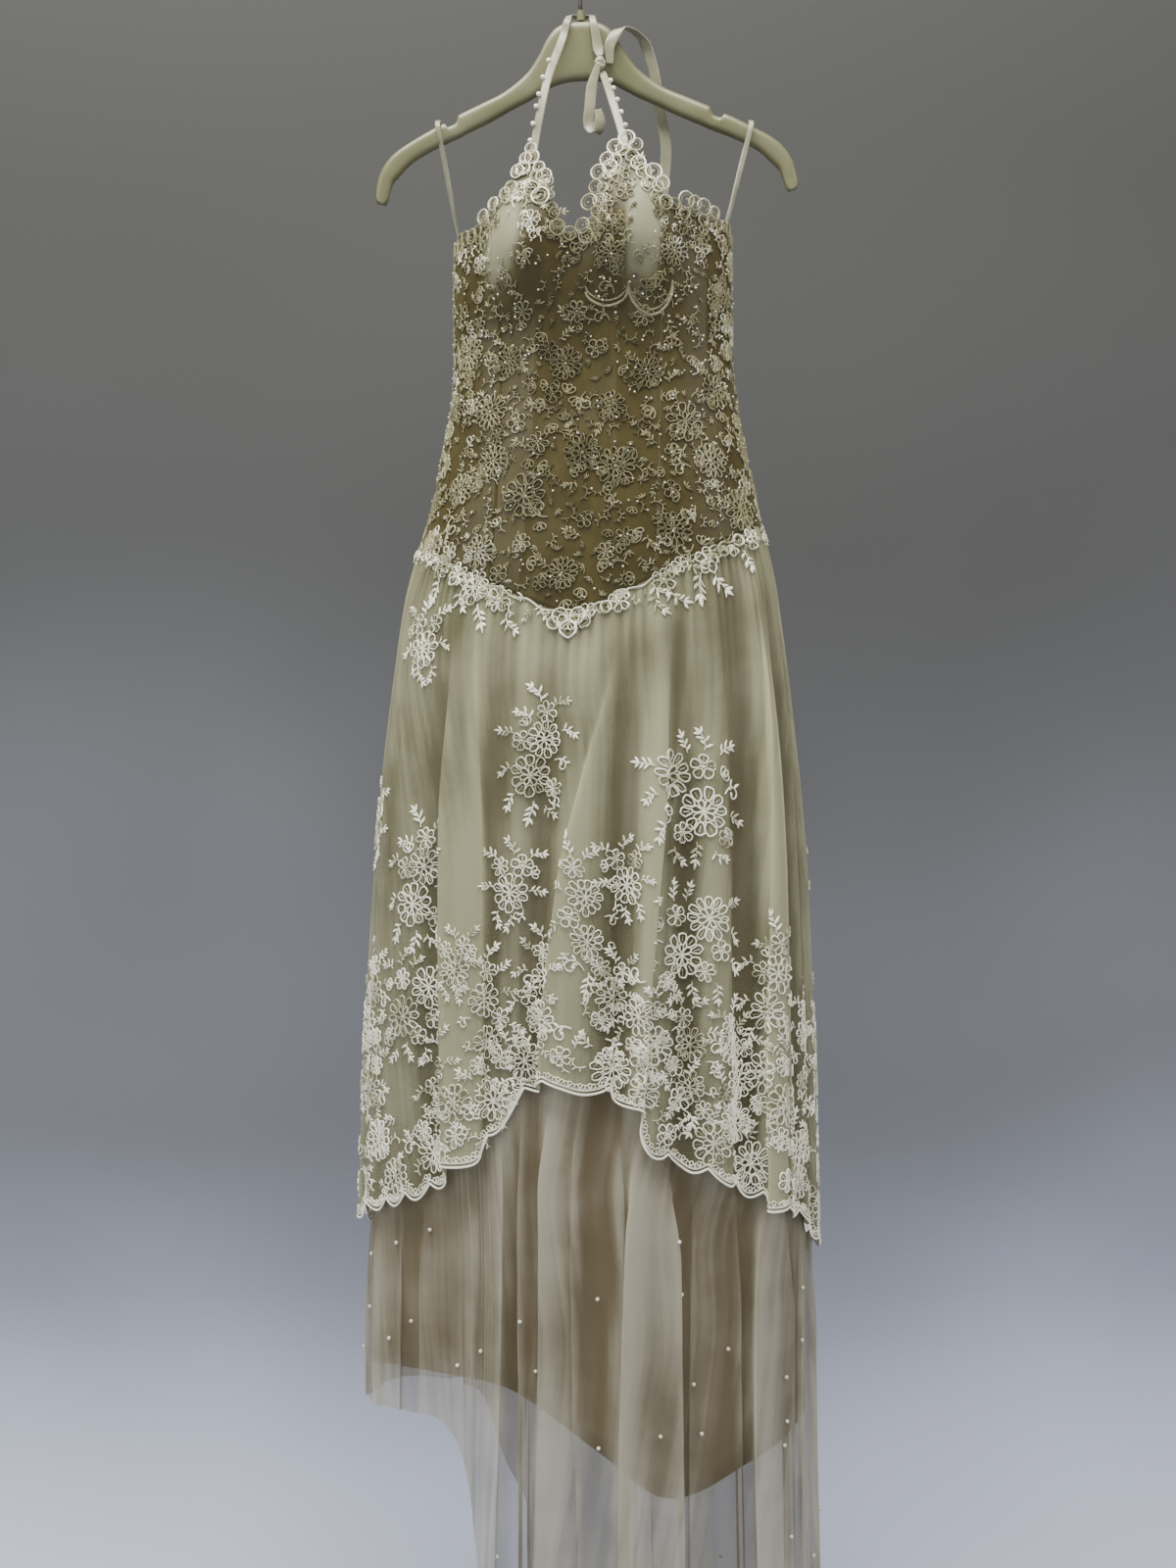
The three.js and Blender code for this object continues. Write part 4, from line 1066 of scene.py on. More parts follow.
def bud(rng, size=11.0):
    """A small half-open flower of three loops."""
    motif = Motif()
    for way in (-42, 0, 42):
        petal = loop_path(size * rng.uniform(0.9, 1.1), size * 0.3, points=12)
        cord(motif, turned(petal, way), wide=1.5, high=1.1, tone=0.95, closed=True)
    dot(motif, 0, 1, radius=1.6, high=1.4)
    return motif


MOTIFS = (rosette, small_rosette, trefoil, scroll, bubble, bud, aster, curl, tuft)
LIBRARY_SEED = 7
VARIANTS = 5


def motif_library():
    """A few hand-sewn variants of each motif, under its maker's name."""
    rng = np.random.default_rng(LIBRARY_SEED)
    return {make.__name__: [make(rng) for _ in range(VARIANTS)] for make in MOTIFS}


LIBRARY = motif_library()

# Sprays of lace: motif, place across and up, turn, size and which way it curls.
SPRAYS = {
    "single": [
        ("rosette", 0, -6, 0, 0.92, 1), ("small_rosette", 13, 22, 0, 0.95, 1),
        ("small_rosette", -12, 21, 0, 0.8, 1), ("trefoil", 4, 32, 0, 1.0, 1),
        ("trefoil", -17, 29, 40, 0.9, 1), ("trefoil", 21, 30, -50, 0.9, -1),
        ("trefoil", -20, 0, 85, 0.8, 1), ("trefoil", 20, -4, -80, 0.9, -1),
        ("scroll", 14, -21, 200, 0.6, -1), ("trefoil", -13, -24, 150, 0.9, 1),
        ("trefoil", 2, -28, 185, 0.9, -1), ("bud", 22, 14, -80, 0.8, 1),
    ],
    "tall": [
        ("rosette", -6, -22, 0, 1.0, 1), ("rosette", 8, 15, 20, 0.86, 1),
        ("small_rosette", -15, 14, 0, 0.9, 1), ("small_rosette", 10, 43, 0, 0.9, 1),
        ("small_rosette", 19, -35, 0, 0.8, 1), ("trefoil", 4, 54, 5, 1.1, 1),
        ("trefoil", 19, 49, -45, 0.9, -1), ("trefoil", -6, 36, 40, 1.0, 1),
        ("trefoil", -25, 22, 75, 0.9, 1), ("trefoil", 28, 24, -70, 0.9, -1),
        ("scroll", 20, -6, -75, 0.7, -1), ("trefoil", -28, -14, 95, 0.8, 1),
        ("trefoil", -22, -40, 140, 1.0, 1), ("scroll", 14, -46, -140, 0.6, 1),
        ("trefoil", -2, -48, 178, 1.1, -1), ("trefoil", 10, -52, 200, 0.9, 1),
        ("bud", -10, 30, 20, 0.8, 1),
    ],
    "pair": [
        ("rosette", -20, 22, 0, 1.05, 1), ("rosette", 14, -12, 15, 1.05, 1),
        ("small_rosette", 16, 29, 0, 0.95, 1), ("small_rosette", -28, -12, 0, 0.9, 1),
        ("small_rosette", -8, -31, 0, 0.85, 1), ("small_rosette", 36, -36, 0, 0.8, 1),
        ("trefoil", 18, 44, -5, 1.0, 1), ("trefoil", 33, 40, -40, 1.0, -1),
        ("trefoil", 2, 42, 15, 0.9, 1), ("trefoil", -42, 30, 70, 1.0, 1), ("trefoil", -43, 4, 95, 0.9, 1),
        ("trefoil", -38, -24, 120, 1.0, 1), ("scroll", 36, 4, -50, 0.85, -1),
        ("scroll", 28, -36, -110, 0.7, 1), ("trefoil", -18, -44, 170, 1.0, 1),
        ("trefoil", 6, -40, 185, 1.0, -1), ("trefoil", 22, -48, 200, 0.9, 1),
        ("trefoil", 42, -16, -90, 0.9, -1), ("bud", 34, 20, -60, 0.9, 1),
    ],
    "trail": [
        ("small_rosette", 2, 44, 0, 0.9, 1), ("rosette", 6, 14, 0, 0.86, 1),
        ("small_rosette", -15, -6, 0, 0.9, 1), ("rosette", 0, -31, 10, 0.8, 1),
        ("small_rosette", 12, -57, 0, 0.8, 1), ("trefoil", 2, 56, 4, 1.1, 1),
        ("trefoil", 14, 52, -40, 0.9, -1), ("trefoil", -10, 43, 45, 0.9, 1),
        ("trefoil", 26, 24, -70, 0.9, -1), ("trefoil", -16, 22, 70, 0.9, 1),
        ("scroll", 22, -6, -80, 0.6, -1), ("trefoil", -26, -12, 100, 0.9, 1),
        ("trefoil", -19, -42, 130, 1.0, 1), ("scroll", 16, -38, -120, 0.55, 1),
        ("trefoil", 0, -62, 180, 1.1, -1), ("trefoil", 19, -64, 205, 0.9, 1),
    ],
}

# Where the sprays lie on the overskirt: spray, angle, distance down, turn, size and which way it faces.
SKIRT_SPRAYS = [
    ("single", -48.8, 716, 0, 0.95, -1), ("tall", -7.1, 829, 0, 0.95, 1), ("pair", 33.6, 872, 0, 1.05, 1),
    ("tall", -43.7, 955, 4, 1.0, 1), ("single", -13.2, 958, 0, 0.95, 1), ("trail", 5.5, 980, 0, 0.95, 1),
    ("single", 15.5, 950, 0, 0.9, -1), ("pair", 33.4, 1010, 6, 0.95, -1), ("tall", 60, 1056, -4, 1.0, 1),
    ("pair", -43.6, 1078, 0, 0.9, -1), ("single", -26, 1035, 10, 0.8, 1), ("trail", -18.8, 1080, 0, 0.9, -1),
    ("trail", -5, 1057, 0, 0.85, 1), ("single", 10.2, 1058, 0, 0.85, 1), ("pair", 18.5, 1098, 0, 0.8, 1),
    ("trail", 31, 1122, 6, 0.9, 1), ("pair", 60, 1158, 0, 0.9, 1), ("tall", 45, 1126, 0, 0.85, -1),
    ("tall", -66, 1080, 0, 0.9, 1), ("single", -62, 1160, 0, 0.95, -1), ("trail", -32, 1150, 0, 0.85, 1),
    ("tall", 80, 1120, 0, 0.9, -1), ("tall", -82, 1130, 0, 0.95, 1), ("single", -76, 900, 0, 0.95, 1),
]
BACK_SPRAYS = [
    ("tall", 104, 1130, 0, 1, 1), ("pair", 122, 1196, 0, 1, -1), ("pair", 132, 1090, 0, 1, 1),
    ("trail", 148, 1210, 0, 1, 1), ("tall", 164, 1256, 0, 1, -1), ("single", 158, 1120, 0, 1, 1),
    ("pair", 182, 1210, 0, 1.05, 1), ("trail", 199, 1262, 0, 1, -1), ("tall", 214, 1190, 0, 1, 1),
    ("pair", 230, 1120, 0, 1, -1), ("single", 206, 1070, 0, 1, -1), ("trail", 246, 1186, 0, 1, 1),
    ("tall", 258, 1096, 0, 0.95, 1), ("single", 182, 980, 0, 1, 1), ("single", 112, 960, 0, 1, -1),
    ("single", 250, 930, 0, 1, 1),
]

# How many degrees to either side a motif can reach on the cloth, and in how many steps that is measured.
CLOTH_REACH = 18
CLOTH_STEPS = 121
# How far a spray's motifs turn by chance, and the tones that motifs are sewn in.
SPRAY_SWING = 10
SEWN_TONES = (0.7, 1.2)


class LaceWork:
    """Motifs sewn on one surface of the dress, joined into one mesh."""

    def __init__(self, surface, seed, tones=SEWN_TONES):
        self.surface = surface
        self.tone_range = tones
        self.rng = np.random.default_rng(seed)
        self.points, self.quads, self.tones, self.count = [], [], [], 0

    def keep(self, points, quads, tone):
        """Add a mesh that is already in its place."""
        self.points.append(points)
        self.quads.append(quads + self.count)
        self.tones.append(tone)
        self.count += len(points)

    def across(self, angle, down, x):
        """The angles that lie x millimetres along the cloth from here, round its folds."""
        around = angle + np.linspace(-CLOTH_REACH, CLOTH_REACH, CLOTH_STEPS)
        line = self.surface(around, np.full(len(around), float(down)))
        run = np.concatenate([[0], np.cumsum(np.linalg.norm(np.diff(line, axis=0), axis=1))])
        return np.interp(x, run - run[len(run) // 2], around)

    def sew(self, motif, angle, down, turn=0.0, size=1.0, flip=1, lift=LACE_LIFT):
        """Sew a motif on with its middle here."""
        points, quads, tone = motif.laid(turn, size, flip)
        angles = self.across(angle, down, points[:, 0])
        laid_on = lifted(self.surface, angles, down - points[:, 1], points[:, 2] + lift)
        self.keep(laid_on, quads, tone * self.rng.uniform(*self.tone_range))

    def motif(self, name):
        """One of a motif's variants, at random."""
        return LIBRARY[name][self.rng.integers(VARIANTS)]

    def spray(self, kind, angle, down, turn=0.0, size=1.0, flip=1):
        """Sew on all the motifs of a spray."""
        a = math.radians(turn)
        for name, x, y, way, scale, curl in SPRAYS[kind]:
            x, y = x * size * flip, y * size
            across = x * math.cos(a) - y * math.sin(a)
            height = down - x * math.sin(a) - y * math.cos(a)
            place = float(self.across(angle, height, across))
            way = turn + flip * way + self.rng.uniform(-SPRAY_SWING, SPRAY_SWING)
            self.sew(self.motif(name), place, height, way, size * scale, curl * flip)

    def edge_cord(self, angle, down, wide, high, tone=1.0):
        """A cord along a line of the surface, such as a hem."""
        middle, out = place_and_facing(self.surface, angle, down)
        ahead = np.gradient(middle, axis=0)
        side = np.cross(out, ahead)
        side *= wide / 2 / np.linalg.norm(side, axis=1, keepdims=True)
        base = middle + out * LACE_LIFT
        points = np.concatenate([base + side, base + out * high, base - side])
        self.keep(points, strip_quads(len(middle), False), np.full(len(points), tone))

    def make(self, name, shade=None):
        """The joined mesh. shade(points) dims it from place to place."""
        points = np.concatenate(self.points)
        tone = np.concatenate(self.tones)
        if shade:
            tone = tone * shade(points)
        return make_object(name, points, np.concatenate(self.quads), LACE, values={"tone": tone})


# The slope of a line is measured this far to either side.
SLOPE_SPAN = 2


def evenly(surface, angles, downs, pitch):
    """Places along a line on a surface, this many millimetres apart, as angles, distances down and slopes."""
    line = surface(angles, downs)
    run = np.concatenate([[0], np.cumsum(np.linalg.norm(np.diff(line, axis=0), axis=1))])
    stops = np.arange(pitch / 2, run[-1], pitch)
    angle = np.interp(stops, run, angles)
    down = np.interp(stops, run, downs)
    before = np.interp(stops - SLOPE_SPAN, run, downs)
    after = np.interp(stops + SLOPE_SPAN, run, downs)
    slope = np.degrees(np.arcsin(np.clip((before - after) / (2 * SLOPE_SPAN), -1, 1)))
    return list(zip(angle, down, slope))


# The border above the scallops: cords, buds, rows of flowers and what fills the ground between them.
HEM_CORDS = table("above wide high tone", (1.2, 2.2, 1.5, 1), (5.2, 1.5, 1.1, 0.9))
HEM_BUDS = {"pitch": 11, "above": 5, "size": 0.62}
HEM_FLOWERS = [
    {"above": 24, "pitch": 52, "kinds": ("rosette", "small_rosette", "rosette")},
    {"above": 60, "pitch": 66, "kinds": ("small_rosette", "rosette")},
]
FLOWER_SHIFT = 5
FLOWER_SIZES = (0.8, 1.0)
HEM_FILLERS = [
    {"above": 14, "pitch": 24, "kind": "curl"},
    {"above": 40, "pitch": 26, "kind": "trefoil"},
    {"above": 46, "pitch": 44, "kind": "scroll"},
    {"above": 60, "pitch": 25, "kind": "curl"},
    {"above": 86, "pitch": 34, "kind": "trefoil"},
    {"above": 104, "pitch": 70, "kind": "scroll"},
]
FILLER = {"aside": 2.5, "shift": 8, "turn": 120, "size": 0.85}
HEM_POINTS = 700


def overskirt_lace(name, start, sprays, seed):
    """Sprays on the tulle, thicker towards a scalloped border along its hem."""
    work = LaceWork(overskirt, seed)
    draw = work.rng.uniform
    for row in sprays:
        work.spray(*row)
    angles = np.linspace(start, start + 180, HEM_POINTS)
    hem = along(OVERSKIRT_HEM, "angle", angles, "down")
    edge = hem + hem_scallop(angles)
    for above, wide, high, tone in rows_of(HEM_CORDS):
        work.edge_cord(angles, edge - above, wide, high, tone)
    for angle, down, slope in evenly(overskirt, angles, edge, HEM_BUDS["pitch"]):
        work.sew(work.motif("bud"), angle, down - HEM_BUDS["above"], slope, HEM_BUDS["size"])
    for row in HEM_FLOWERS:
        for k, (angle, down, slope) in enumerate(evenly(overskirt, angles, hem - row["above"], row["pitch"])):
            flower = work.motif(row["kinds"][k % len(row["kinds"])])
            work.sew(flower, angle, down + draw(-FLOWER_SHIFT, FLOWER_SHIFT), slope, draw(*FLOWER_SIZES))
    for row in HEM_FILLERS:
        for angle, down, _ in evenly(overskirt, angles, hem - row["above"], row["pitch"]):
            turn = draw(-FILLER["turn"], FILLER["turn"])
            flip = work.rng.choice([-1, 1])
            filler = work.motif(row["kind"])
            down = down + draw(-FILLER["shift"], FILLER["shift"])
            work.sew(filler, angle + FILLER["aside"], down, turn, FILLER["size"], flip)
    return work.make(name)


# Flowers in the front's lace: angle and distance down.
BODICE_FLOWERS = [
    (1.3, 533), (11.4, 548), (-15.3, 572), (-45.8, 560), (31.5, 612), (65.7, 591), (51.7, 544), (-2, 652),
    (40.9, 505), (-34.1, 484), (61.7, 474), (-60, 620), (-30, 625), (-52, 420),
]

FLOWER_KINDS = ("aster", "aster", "rosette")
FLOWER_TURN = (0, 60)
BODICE_FLOWER_SIZES = (0.85, 1.02)
# The web of lace round the flowers, from its largest motifs to its smallest.
WEB = [
    {"kinds": ("aster", "small_rosette"), "gap": 46, "tries": 400, "sizes": (0.7, 0.9)},
    {"kinds": ("curl", "small_rosette", "curl", "scroll"), "gap": 22, "tries": 900, "sizes": (0.6, 0.85)},
    {"kinds": ("curl", "tuft", "trefoil", "curl"), "gap": 12.5, "tries": 1800, "sizes": (0.65, 0.95)},
    {"kinds": ("tuft", "tuft", "bud"), "gap": 8.5, "tries": 2600, "sizes": (0.55, 0.9)},
]
WEB_TONES = (0.6, 1.2)
WEB_BELOW_NECK = 16
WEB_ABOVE_WAIST = 4
BARE_LIMIT = 0.75


def scatter(work, start, end, placed, kinds, gap, tries, sizes):
    """Motifs dropped at random on the bodice between two angles, each this far from the others."""
    angle = work.rng.uniform(start, end, tries)
    top = neckline_at(angle) + WEB_BELOW_NECK
    down = top + (waist_at(angle) - WEB_ABOVE_WAIST - top) * work.rng.uniform(0, 1, tries)
    places = bodice(angle, down)
    open_ground = bare_satin_with_shade(angle, down) < BARE_LIMIT
    for k in np.flatnonzero(open_ground):
        if not placed or np.min(np.linalg.norm(np.array(placed) - places[k], axis=1)) > gap:
            placed.append(places[k])
            kind = kinds[work.rng.integers(len(kinds))]
            work.sew(work.motif(kind), angle[k], down[k], work.rng.uniform(-180, 180),
                     work.rng.uniform(*sizes), work.rng.choice([-1, 1]))


# The scalloped edge of the lace on the right cup, as arcs.
CUP_SCALLOPS = table("start end down depth", (2, 17, 374, 15), (17, 37, 372, 27))
CUP_CORDS = table("above wide high tone", (0, 2.6, 1.6, 1.15), (5, 1.6, 1.2, 0.9))
CUP_POINTS = 50

# Painted light and shade on the lace: a base tone and what is added over a stretch across the dress or up it.
BODICE_PAINTED_LIGHT = {"base": 0.36, "side": 0.2, "top": 0.3, "left_cup": 0.34, "foot": 0.1}
NECK_TONE = {"base": 0.42, "top": 0.42}
WAIST_TONE = {"base": 0.72, "foot": 0.16}
TONE_STRETCH = {
    "side": (40, 110),
    "top": (-370, -290),
    "left_cup": (10, -50),
    "foot": (-560, -640),
    "neck": (-320, -235),
    "waist": (-600, -680),
}


def bodice_painted_light(points):
    """Painted shade and light on the bodice's lace: it is painted darker in the middle of its front, where
    the cups shade it, and lighter towards the sides, the foot and the top, most of all on the left cup.
    """
    x, z = points[:, 0], points[:, 2]
    side = smooth(*TONE_STRETCH["side"], np.abs(x - DRESS_SHIFT))
    top = smooth(*TONE_STRETCH["top"], z)
    left_cup = smooth(*TONE_STRETCH["left_cup"], x)
    foot = smooth(*TONE_STRETCH["foot"], z)
    upper = (BODICE_PAINTED_LIGHT["top"] + BODICE_PAINTED_LIGHT["left_cup"] * left_cup) * top
    return BODICE_PAINTED_LIGHT["base"] + BODICE_PAINTED_LIGHT["side"] * side + upper + BODICE_PAINTED_LIGHT["foot"] * foot


def cup_scallops(work):
    """The lace's edge on the right cup, as two cords in round arcs."""
    share = np.linspace(0, 1, CUP_POINTS)
    for first, last, down, depth in rows_of(CUP_SCALLOPS):
        angles = first + (last - first) * share
        dip = depth * np.sqrt(np.abs(np.sin(np.pi * share)))
        for above, wide, high, tone in rows_of(CUP_CORDS):
            work.edge_cord(angles, down - above + dip, wide, high, tone)


def bodice_lace(start, end, flowers, seed):
    """A web of fine curls and stitches over the satin, with a few flowers in it."""
    work = LaceWork(bodice, seed, WEB_TONES)
    placed = []
    for k, (angle, down) in enumerate(flowers):
        flower = work.motif(FLOWER_KINDS[k % len(FLOWER_KINDS)])
        turn = work.rng.uniform(*FLOWER_TURN)
        work.sew(flower, angle, down, turn, work.rng.uniform(*BODICE_FLOWER_SIZES))
        placed.append(bodice(angle, down))
    for row in WEB:
        scatter(work, start, end, placed, **row)
    return work


def front_lace():
    """The lace on the front and the sides."""
    work = bodice_lace(-90, 90, BODICE_FLOWERS, seed=13)
    cup_scallops(work)
    return work.make("bodice_lace_front", bodice_painted_light)


def back_lace():
    """The lace on both backs, clear of the side seams."""
    return bodice_lace(94, 266, [], seed=14).make("bodice_lace_back", bodice_painted_light)


# Rings that stand out past the neck edge in bunches: angle, distance down and size.
NECK_RINGS = [
    (3.4, 288, 1.25), (5.4, 273, 1.0), (6.2, 258, 1.15), (9, 245, 1.0), (12, 233, 1.15), (16.5, 225, 1.2),
    (20.5, 232, 0.95), (-14.5, 270, 1.1), (-11, 278, 1.3), (-13.2, 256, 0.9), (-18.5, 236, 0.9),
    (-16.6, 226, 0.85), (-5, 311, 1.15), (-1.5, 317, 1.0), (1.6, 311, 1.15), (28, 261, 1.25),
    (32, 272, 1.1), (45, 288, 1.3), (50.5, 290, 1.1), (57, 293, 1.25), (66, 297, 1.0), (-40, 288, 1.1),
    (-33, 278, 1.0),
]

EDGE_RINGS = {"pitch": 11.5, "shift": (-2.5, 5), "sizes": (0.7, 1.15), "lift": 1.2}
BUNCH_LIFT = 1.6
UNDER_RINGS = {"below": 15, "pitch": 17, "shift": (-3, 8), "turn": 60, "size": 0.8, "lift": 1.0}
UNDER_RING_KINDS = ("bud", "trefoil", "small_rosette")
NECK_POINTS = 900


def neck_edging(name, start, end, rings, seed):
    """Corded rings of uneven size along the top edge, with loops and leaves under them."""
    work = LaceWork(bodice, seed)
    draw = work.rng.uniform
    angles = np.linspace(start, end, NECK_POINTS)
    edge = neckline_at(angles)
    for angle, down, slope in evenly(bodice, angles, edge, EDGE_RINGS["pitch"]):
        down = down + draw(*EDGE_RINGS["shift"])
        ring = work.motif("bubble")
        work.sew(ring, angle, down, slope, draw(*EDGE_RINGS["sizes"]), lift=EDGE_RINGS["lift"])
    for angle, down, size in rings:
        work.sew(work.motif("bubble"), angle, down, 0, size, lift=BUNCH_LIFT)
    for angle, down, slope in evenly(bodice, angles, edge + UNDER_RINGS["below"], UNDER_RINGS["pitch"]):
        kind = UNDER_RING_KINDS[work.rng.integers(len(UNDER_RING_KINDS))]
        turn = slope + draw(-UNDER_RINGS["turn"], UNDER_RINGS["turn"])
        motif = work.motif(kind)
        down = down + draw(*UNDER_RINGS["shift"])
        work.sew(motif, angle, down, turn, UNDER_RINGS["size"], lift=UNDER_RINGS["lift"])
    return work.make(name, neck_tone)


def neck_tone(points):
    """The front rings catch the light, and those at the sides are in the shade."""
    return NECK_TONE["base"] + NECK_TONE["top"] * smooth(*TONE_STRETCH["neck"], points[:, 2])


# Sprigs that hang from the waist: motif, angle, distance below the seam, turn and size.
WAIST_DROPS = [
    ("rosette", -47, 8, 0, 0.6), ("trefoil", -46, 20, 160, 1.2), ("rosette", -30, 12, 0, 0.8),
    ("trefoil", -27, 26, 190, 1.2), ("trefoil", -35, 22, 170, 1.1), ("small_rosette", -20, 12, 0, 1.1),
    ("trefoil", -17, 24, 185, 1.1), ("bubble", -2, 4, 0, 1.2), ("bubble", 2, 4, 0, 1.2),
    ("bubble", 0, 14, 0, 1.3), ("bubble", -3.5, 13, 0, 0.9), ("bubble", 3.5, 12, 0, 1.0),
    ("small_rosette", 13, 8, 0, 0.9), ("trefoil", 24, 18, 180, 1.1), ("trefoil", 29, 20, 205, 1.2),
    ("small_rosette", 27, 8, 0, 1.0), ("trefoil", 40, 18, 170, 1.3), ("trefoil", 46, 24, 200, 1.3),
    ("small_rosette", 44, 10, 0, 1.1), ("trefoil", 62, 16, 190, 1.1),
]

WAIST_CORD = {"below": 2, "sway": 2, "waves": 40, "wide": 2.0, "high": 1.8, "tone": 0.8}
WAIST_MOTIFS = {"pitch": 10, "shift": (-6, 7), "turn": 50, "sizes": (0.6, 1.0), "lift": 1.5}
WAIST_KINDS = ("small_rosette", "curl", "trefoil", "bud", "tuft", "bubble")
DROP_LIFT = 1.3
WAIST_LINE_POINTS = 500


def waist_edging(name, start, drops, seed):
    """The bodice's lace edge over the top of the skirt, with leaf sprigs that hang from it."""
    work = LaceWork(overskirt, seed)
    draw = work.rng.uniform
    angles = np.linspace(start, start + 180, WAIST_LINE_POINTS)
    waist = waist_at(angles)
    sway = WAIST_CORD["sway"] * np.sin(np.radians(WAIST_CORD["waves"] * angles))
    line = waist + WAIST_CORD["below"]
    work.edge_cord(angles, line + sway, WAIST_CORD["wide"], WAIST_CORD["high"], WAIST_CORD["tone"])
    for angle, down, slope in evenly(overskirt, angles, line, WAIST_MOTIFS["pitch"]):
        kind = WAIST_KINDS[work.rng.integers(len(WAIST_KINDS))]
        turn = slope + 180 + draw(-WAIST_MOTIFS["turn"], WAIST_MOTIFS["turn"])
        motif = work.motif(kind)
        down = down + draw(*WAIST_MOTIFS["shift"])
        work.sew(motif, angle, down, turn, draw(*WAIST_MOTIFS["sizes"]), lift=WAIST_MOTIFS["lift"])
    for kind, angle, below, turn, size in drops:
        work.sew(work.motif(kind), angle, float(waist_at(angle)) + below, turn, size, lift=DROP_LIFT)
    return work.make(name, waist_tone)


def waist_tone(points):
    """The edging is brightest where it lies lowest, out of the bodice's shade."""
    return WAIST_TONE["base"] + WAIST_TONE["foot"] * smooth(*TONE_STRETCH["waist"], points[:, 2])


FRONT_SPRAY_NODES = [f"skirt_spray_{k}" for k in range(1, 13)]
BACK_SPRAY_NODES = [f"skirt_spray_{k}" for k in range(13, 16)]
LACES = {
    "overskirt_front": overskirt_lace("overskirt_lace_front", -90, SKIRT_SPRAYS, seed=11),
    "overskirt_back": overskirt_lace("overskirt_lace_back", 90, BACK_SPRAYS, seed=12),
    "bodice_front": front_lace(),
    "bodice_back_right": back_lace(),
    "neck_front": neck_edging("neck_edging_front", -90, 90, NECK_RINGS, seed=15),
    "neck_back_right": neck_edging("neck_edging_back_right", 90, 174, [], seed=16),
    "neck_back_left": neck_edging("neck_edging_back_left", 186, 270, [], seed=17),
    "waist_front": waist_edging("waist_edging_front", -90, WAIST_DROPS, seed=18),
    "waist_back": waist_edging("waist_edging_back", 90, [], seed=19),
}
LACE_NODES = {
    "overskirt_front": ["hem_lace_front", *FRONT_SPRAY_NODES],
    "overskirt_back": ["hem_lace_back", *BACK_SPRAY_NODES],
    "bodice_front": ["bodice_spray_1", "bodice_spray_2", "bodice_spray_3"],
    "neck_front": ["neck_lace_front", "neck_lace_left", "neck_lace_right"],
    "neck_back_right": ["neck_lace_back_right"],
    "neck_back_left": ["neck_lace_back_left"],
    "waist_front": ["waist_lace_front"],
    "waist_back": ["waist_lace_back"],
}
for lace_name, lace_piece in LACES.items():
    dress_piece(lace_piece, "lace", *LACE_NODES.get(lace_name, []))


# Pearls.

BODICE_PEARL = {"share": (0.03, 0.98), "radius": (0.8, 1.3), "lift": 0.8, "detail": 1}
SKIRT_PEARL = {"below": 25, "above": 15, "radius": 2.0, "detail": 2}
STRAP_PEARL = {"radius": 2.6, "aside": 1.0, "forward": 1.5, "detail": 2}


def pearls(name, centres, radii, detail):
    """Round beads as one mesh."""
    ball = bmesh.new()
    bmesh.ops.create_icosphere(ball, subdivisions=detail, radius=1)
    ball.verts.ensure_lookup_table()
    shape = np.array([v.co for v in ball.verts])
    faces = np.array([[v.index for v in f.verts] for f in ball.faces])
    ball.free()
    centres = np.asarray(centres)
    points = (centres[:, None] + shape[None] * np.asarray(radii)[:, None, None]).reshape(-1, 3)
    shifted = (faces[None] + len(shape) * np.arange(len(centres))[:, None, None]).reshape(-1, 3)
    return make_object(name, points, shifted, PEARL)


def bodice_pearls(name, start, end, count, seed):
    """Small pearls scattered over the bodice."""
    rng = np.random.default_rng(seed)
    angle = rng.uniform(start, end, count)
    share = rng.uniform(*BODICE_PEARL["share"], count)
    down = neckline_at(angle) + (waist_at(angle) - neckline_at(angle)) * share
    radius = rng.uniform(*BODICE_PEARL["radius"], count)
    centres = lifted(bodice, angle, down, radius + BODICE_PEARL["lift"])
    return pearls(name, centres, radius, BODICE_PEARL["detail"])


def skirt_pearls(name, start, count, seed):
    """Pearls scattered over the long tulle layer, below the overskirt's hem."""
    rng = np.random.default_rng(seed)
    angle = rng.uniform(start, start + 180, count)
    top = along(OVERSKIRT_HEM, "angle", angle, "down") + SKIRT_PEARL["below"]
    foot = along(UNDERSKIRT_HEM, "angle", angle, "down") - SKIRT_PEARL["above"]
    down = top + (foot - top) * rng.uniform(0, 1, count)
    radius = np.full(count, SKIRT_PEARL["radius"])
    return pearls(name, lifted(underskirt, angle, down, radius), radius, SKIRT_PEARL["detail"])


PEARLS = {
    "bodice_front": bodice_pearls("bodice_pearls_front", -88, 88, count=420, seed=21),
    "bodice_back_right": bodice_pearls("bodice_pearls_back", 96, 264, count=260, seed=22),
    "underskirt_front": skirt_pearls("underskirt_pearls_front", -90, count=34, seed=23),
    "underskirt_back": skirt_pearls("underskirt_pearls_back", 90, count=30, seed=24),
}
for bead_piece in PEARLS.values():
    dress_piece(bead_piece, "lace")


# Ribbons.

RIBBON_WIDE = 11
STRAP_WIDE = 8
KNOT_WIDE = 7
LOOP_WIDE = 5
RIBBON_WALL = 0.8
PEAK_ANGLE = 16.4
STRAP_INSET = 1.4
LOOP_INSETS = (1.2, 2.8)
LOOP_ANGLE = 88
LOOP_SEWN = 14
# A hanger loop lies over the arm: its crest above the arm's edge, its shoulders below it, and its stops.
LOOP_CREST = 2.5
LOOP_SHOULDER = 4
LOOP_STOPS = (0.3, 0.8)
ARM_HALF_DEPTH = 6.5
ARM_GAP = 1.2
STRAP_SAMPLES = 200
STRAP_TOP = 90
STRAP_SEWN = 22
STRAP_EDGE = 3
FRONT = (0, -1, 0)
UP = (0, 0, 1)
BACK = (0, 1, 0)


def via(x, y, down, face, wide):
    """A row of a ribbon's path: its place, the way its face looks and its width."""
    return (np.array([x, y, -down], float), np.array(face, float), wide)


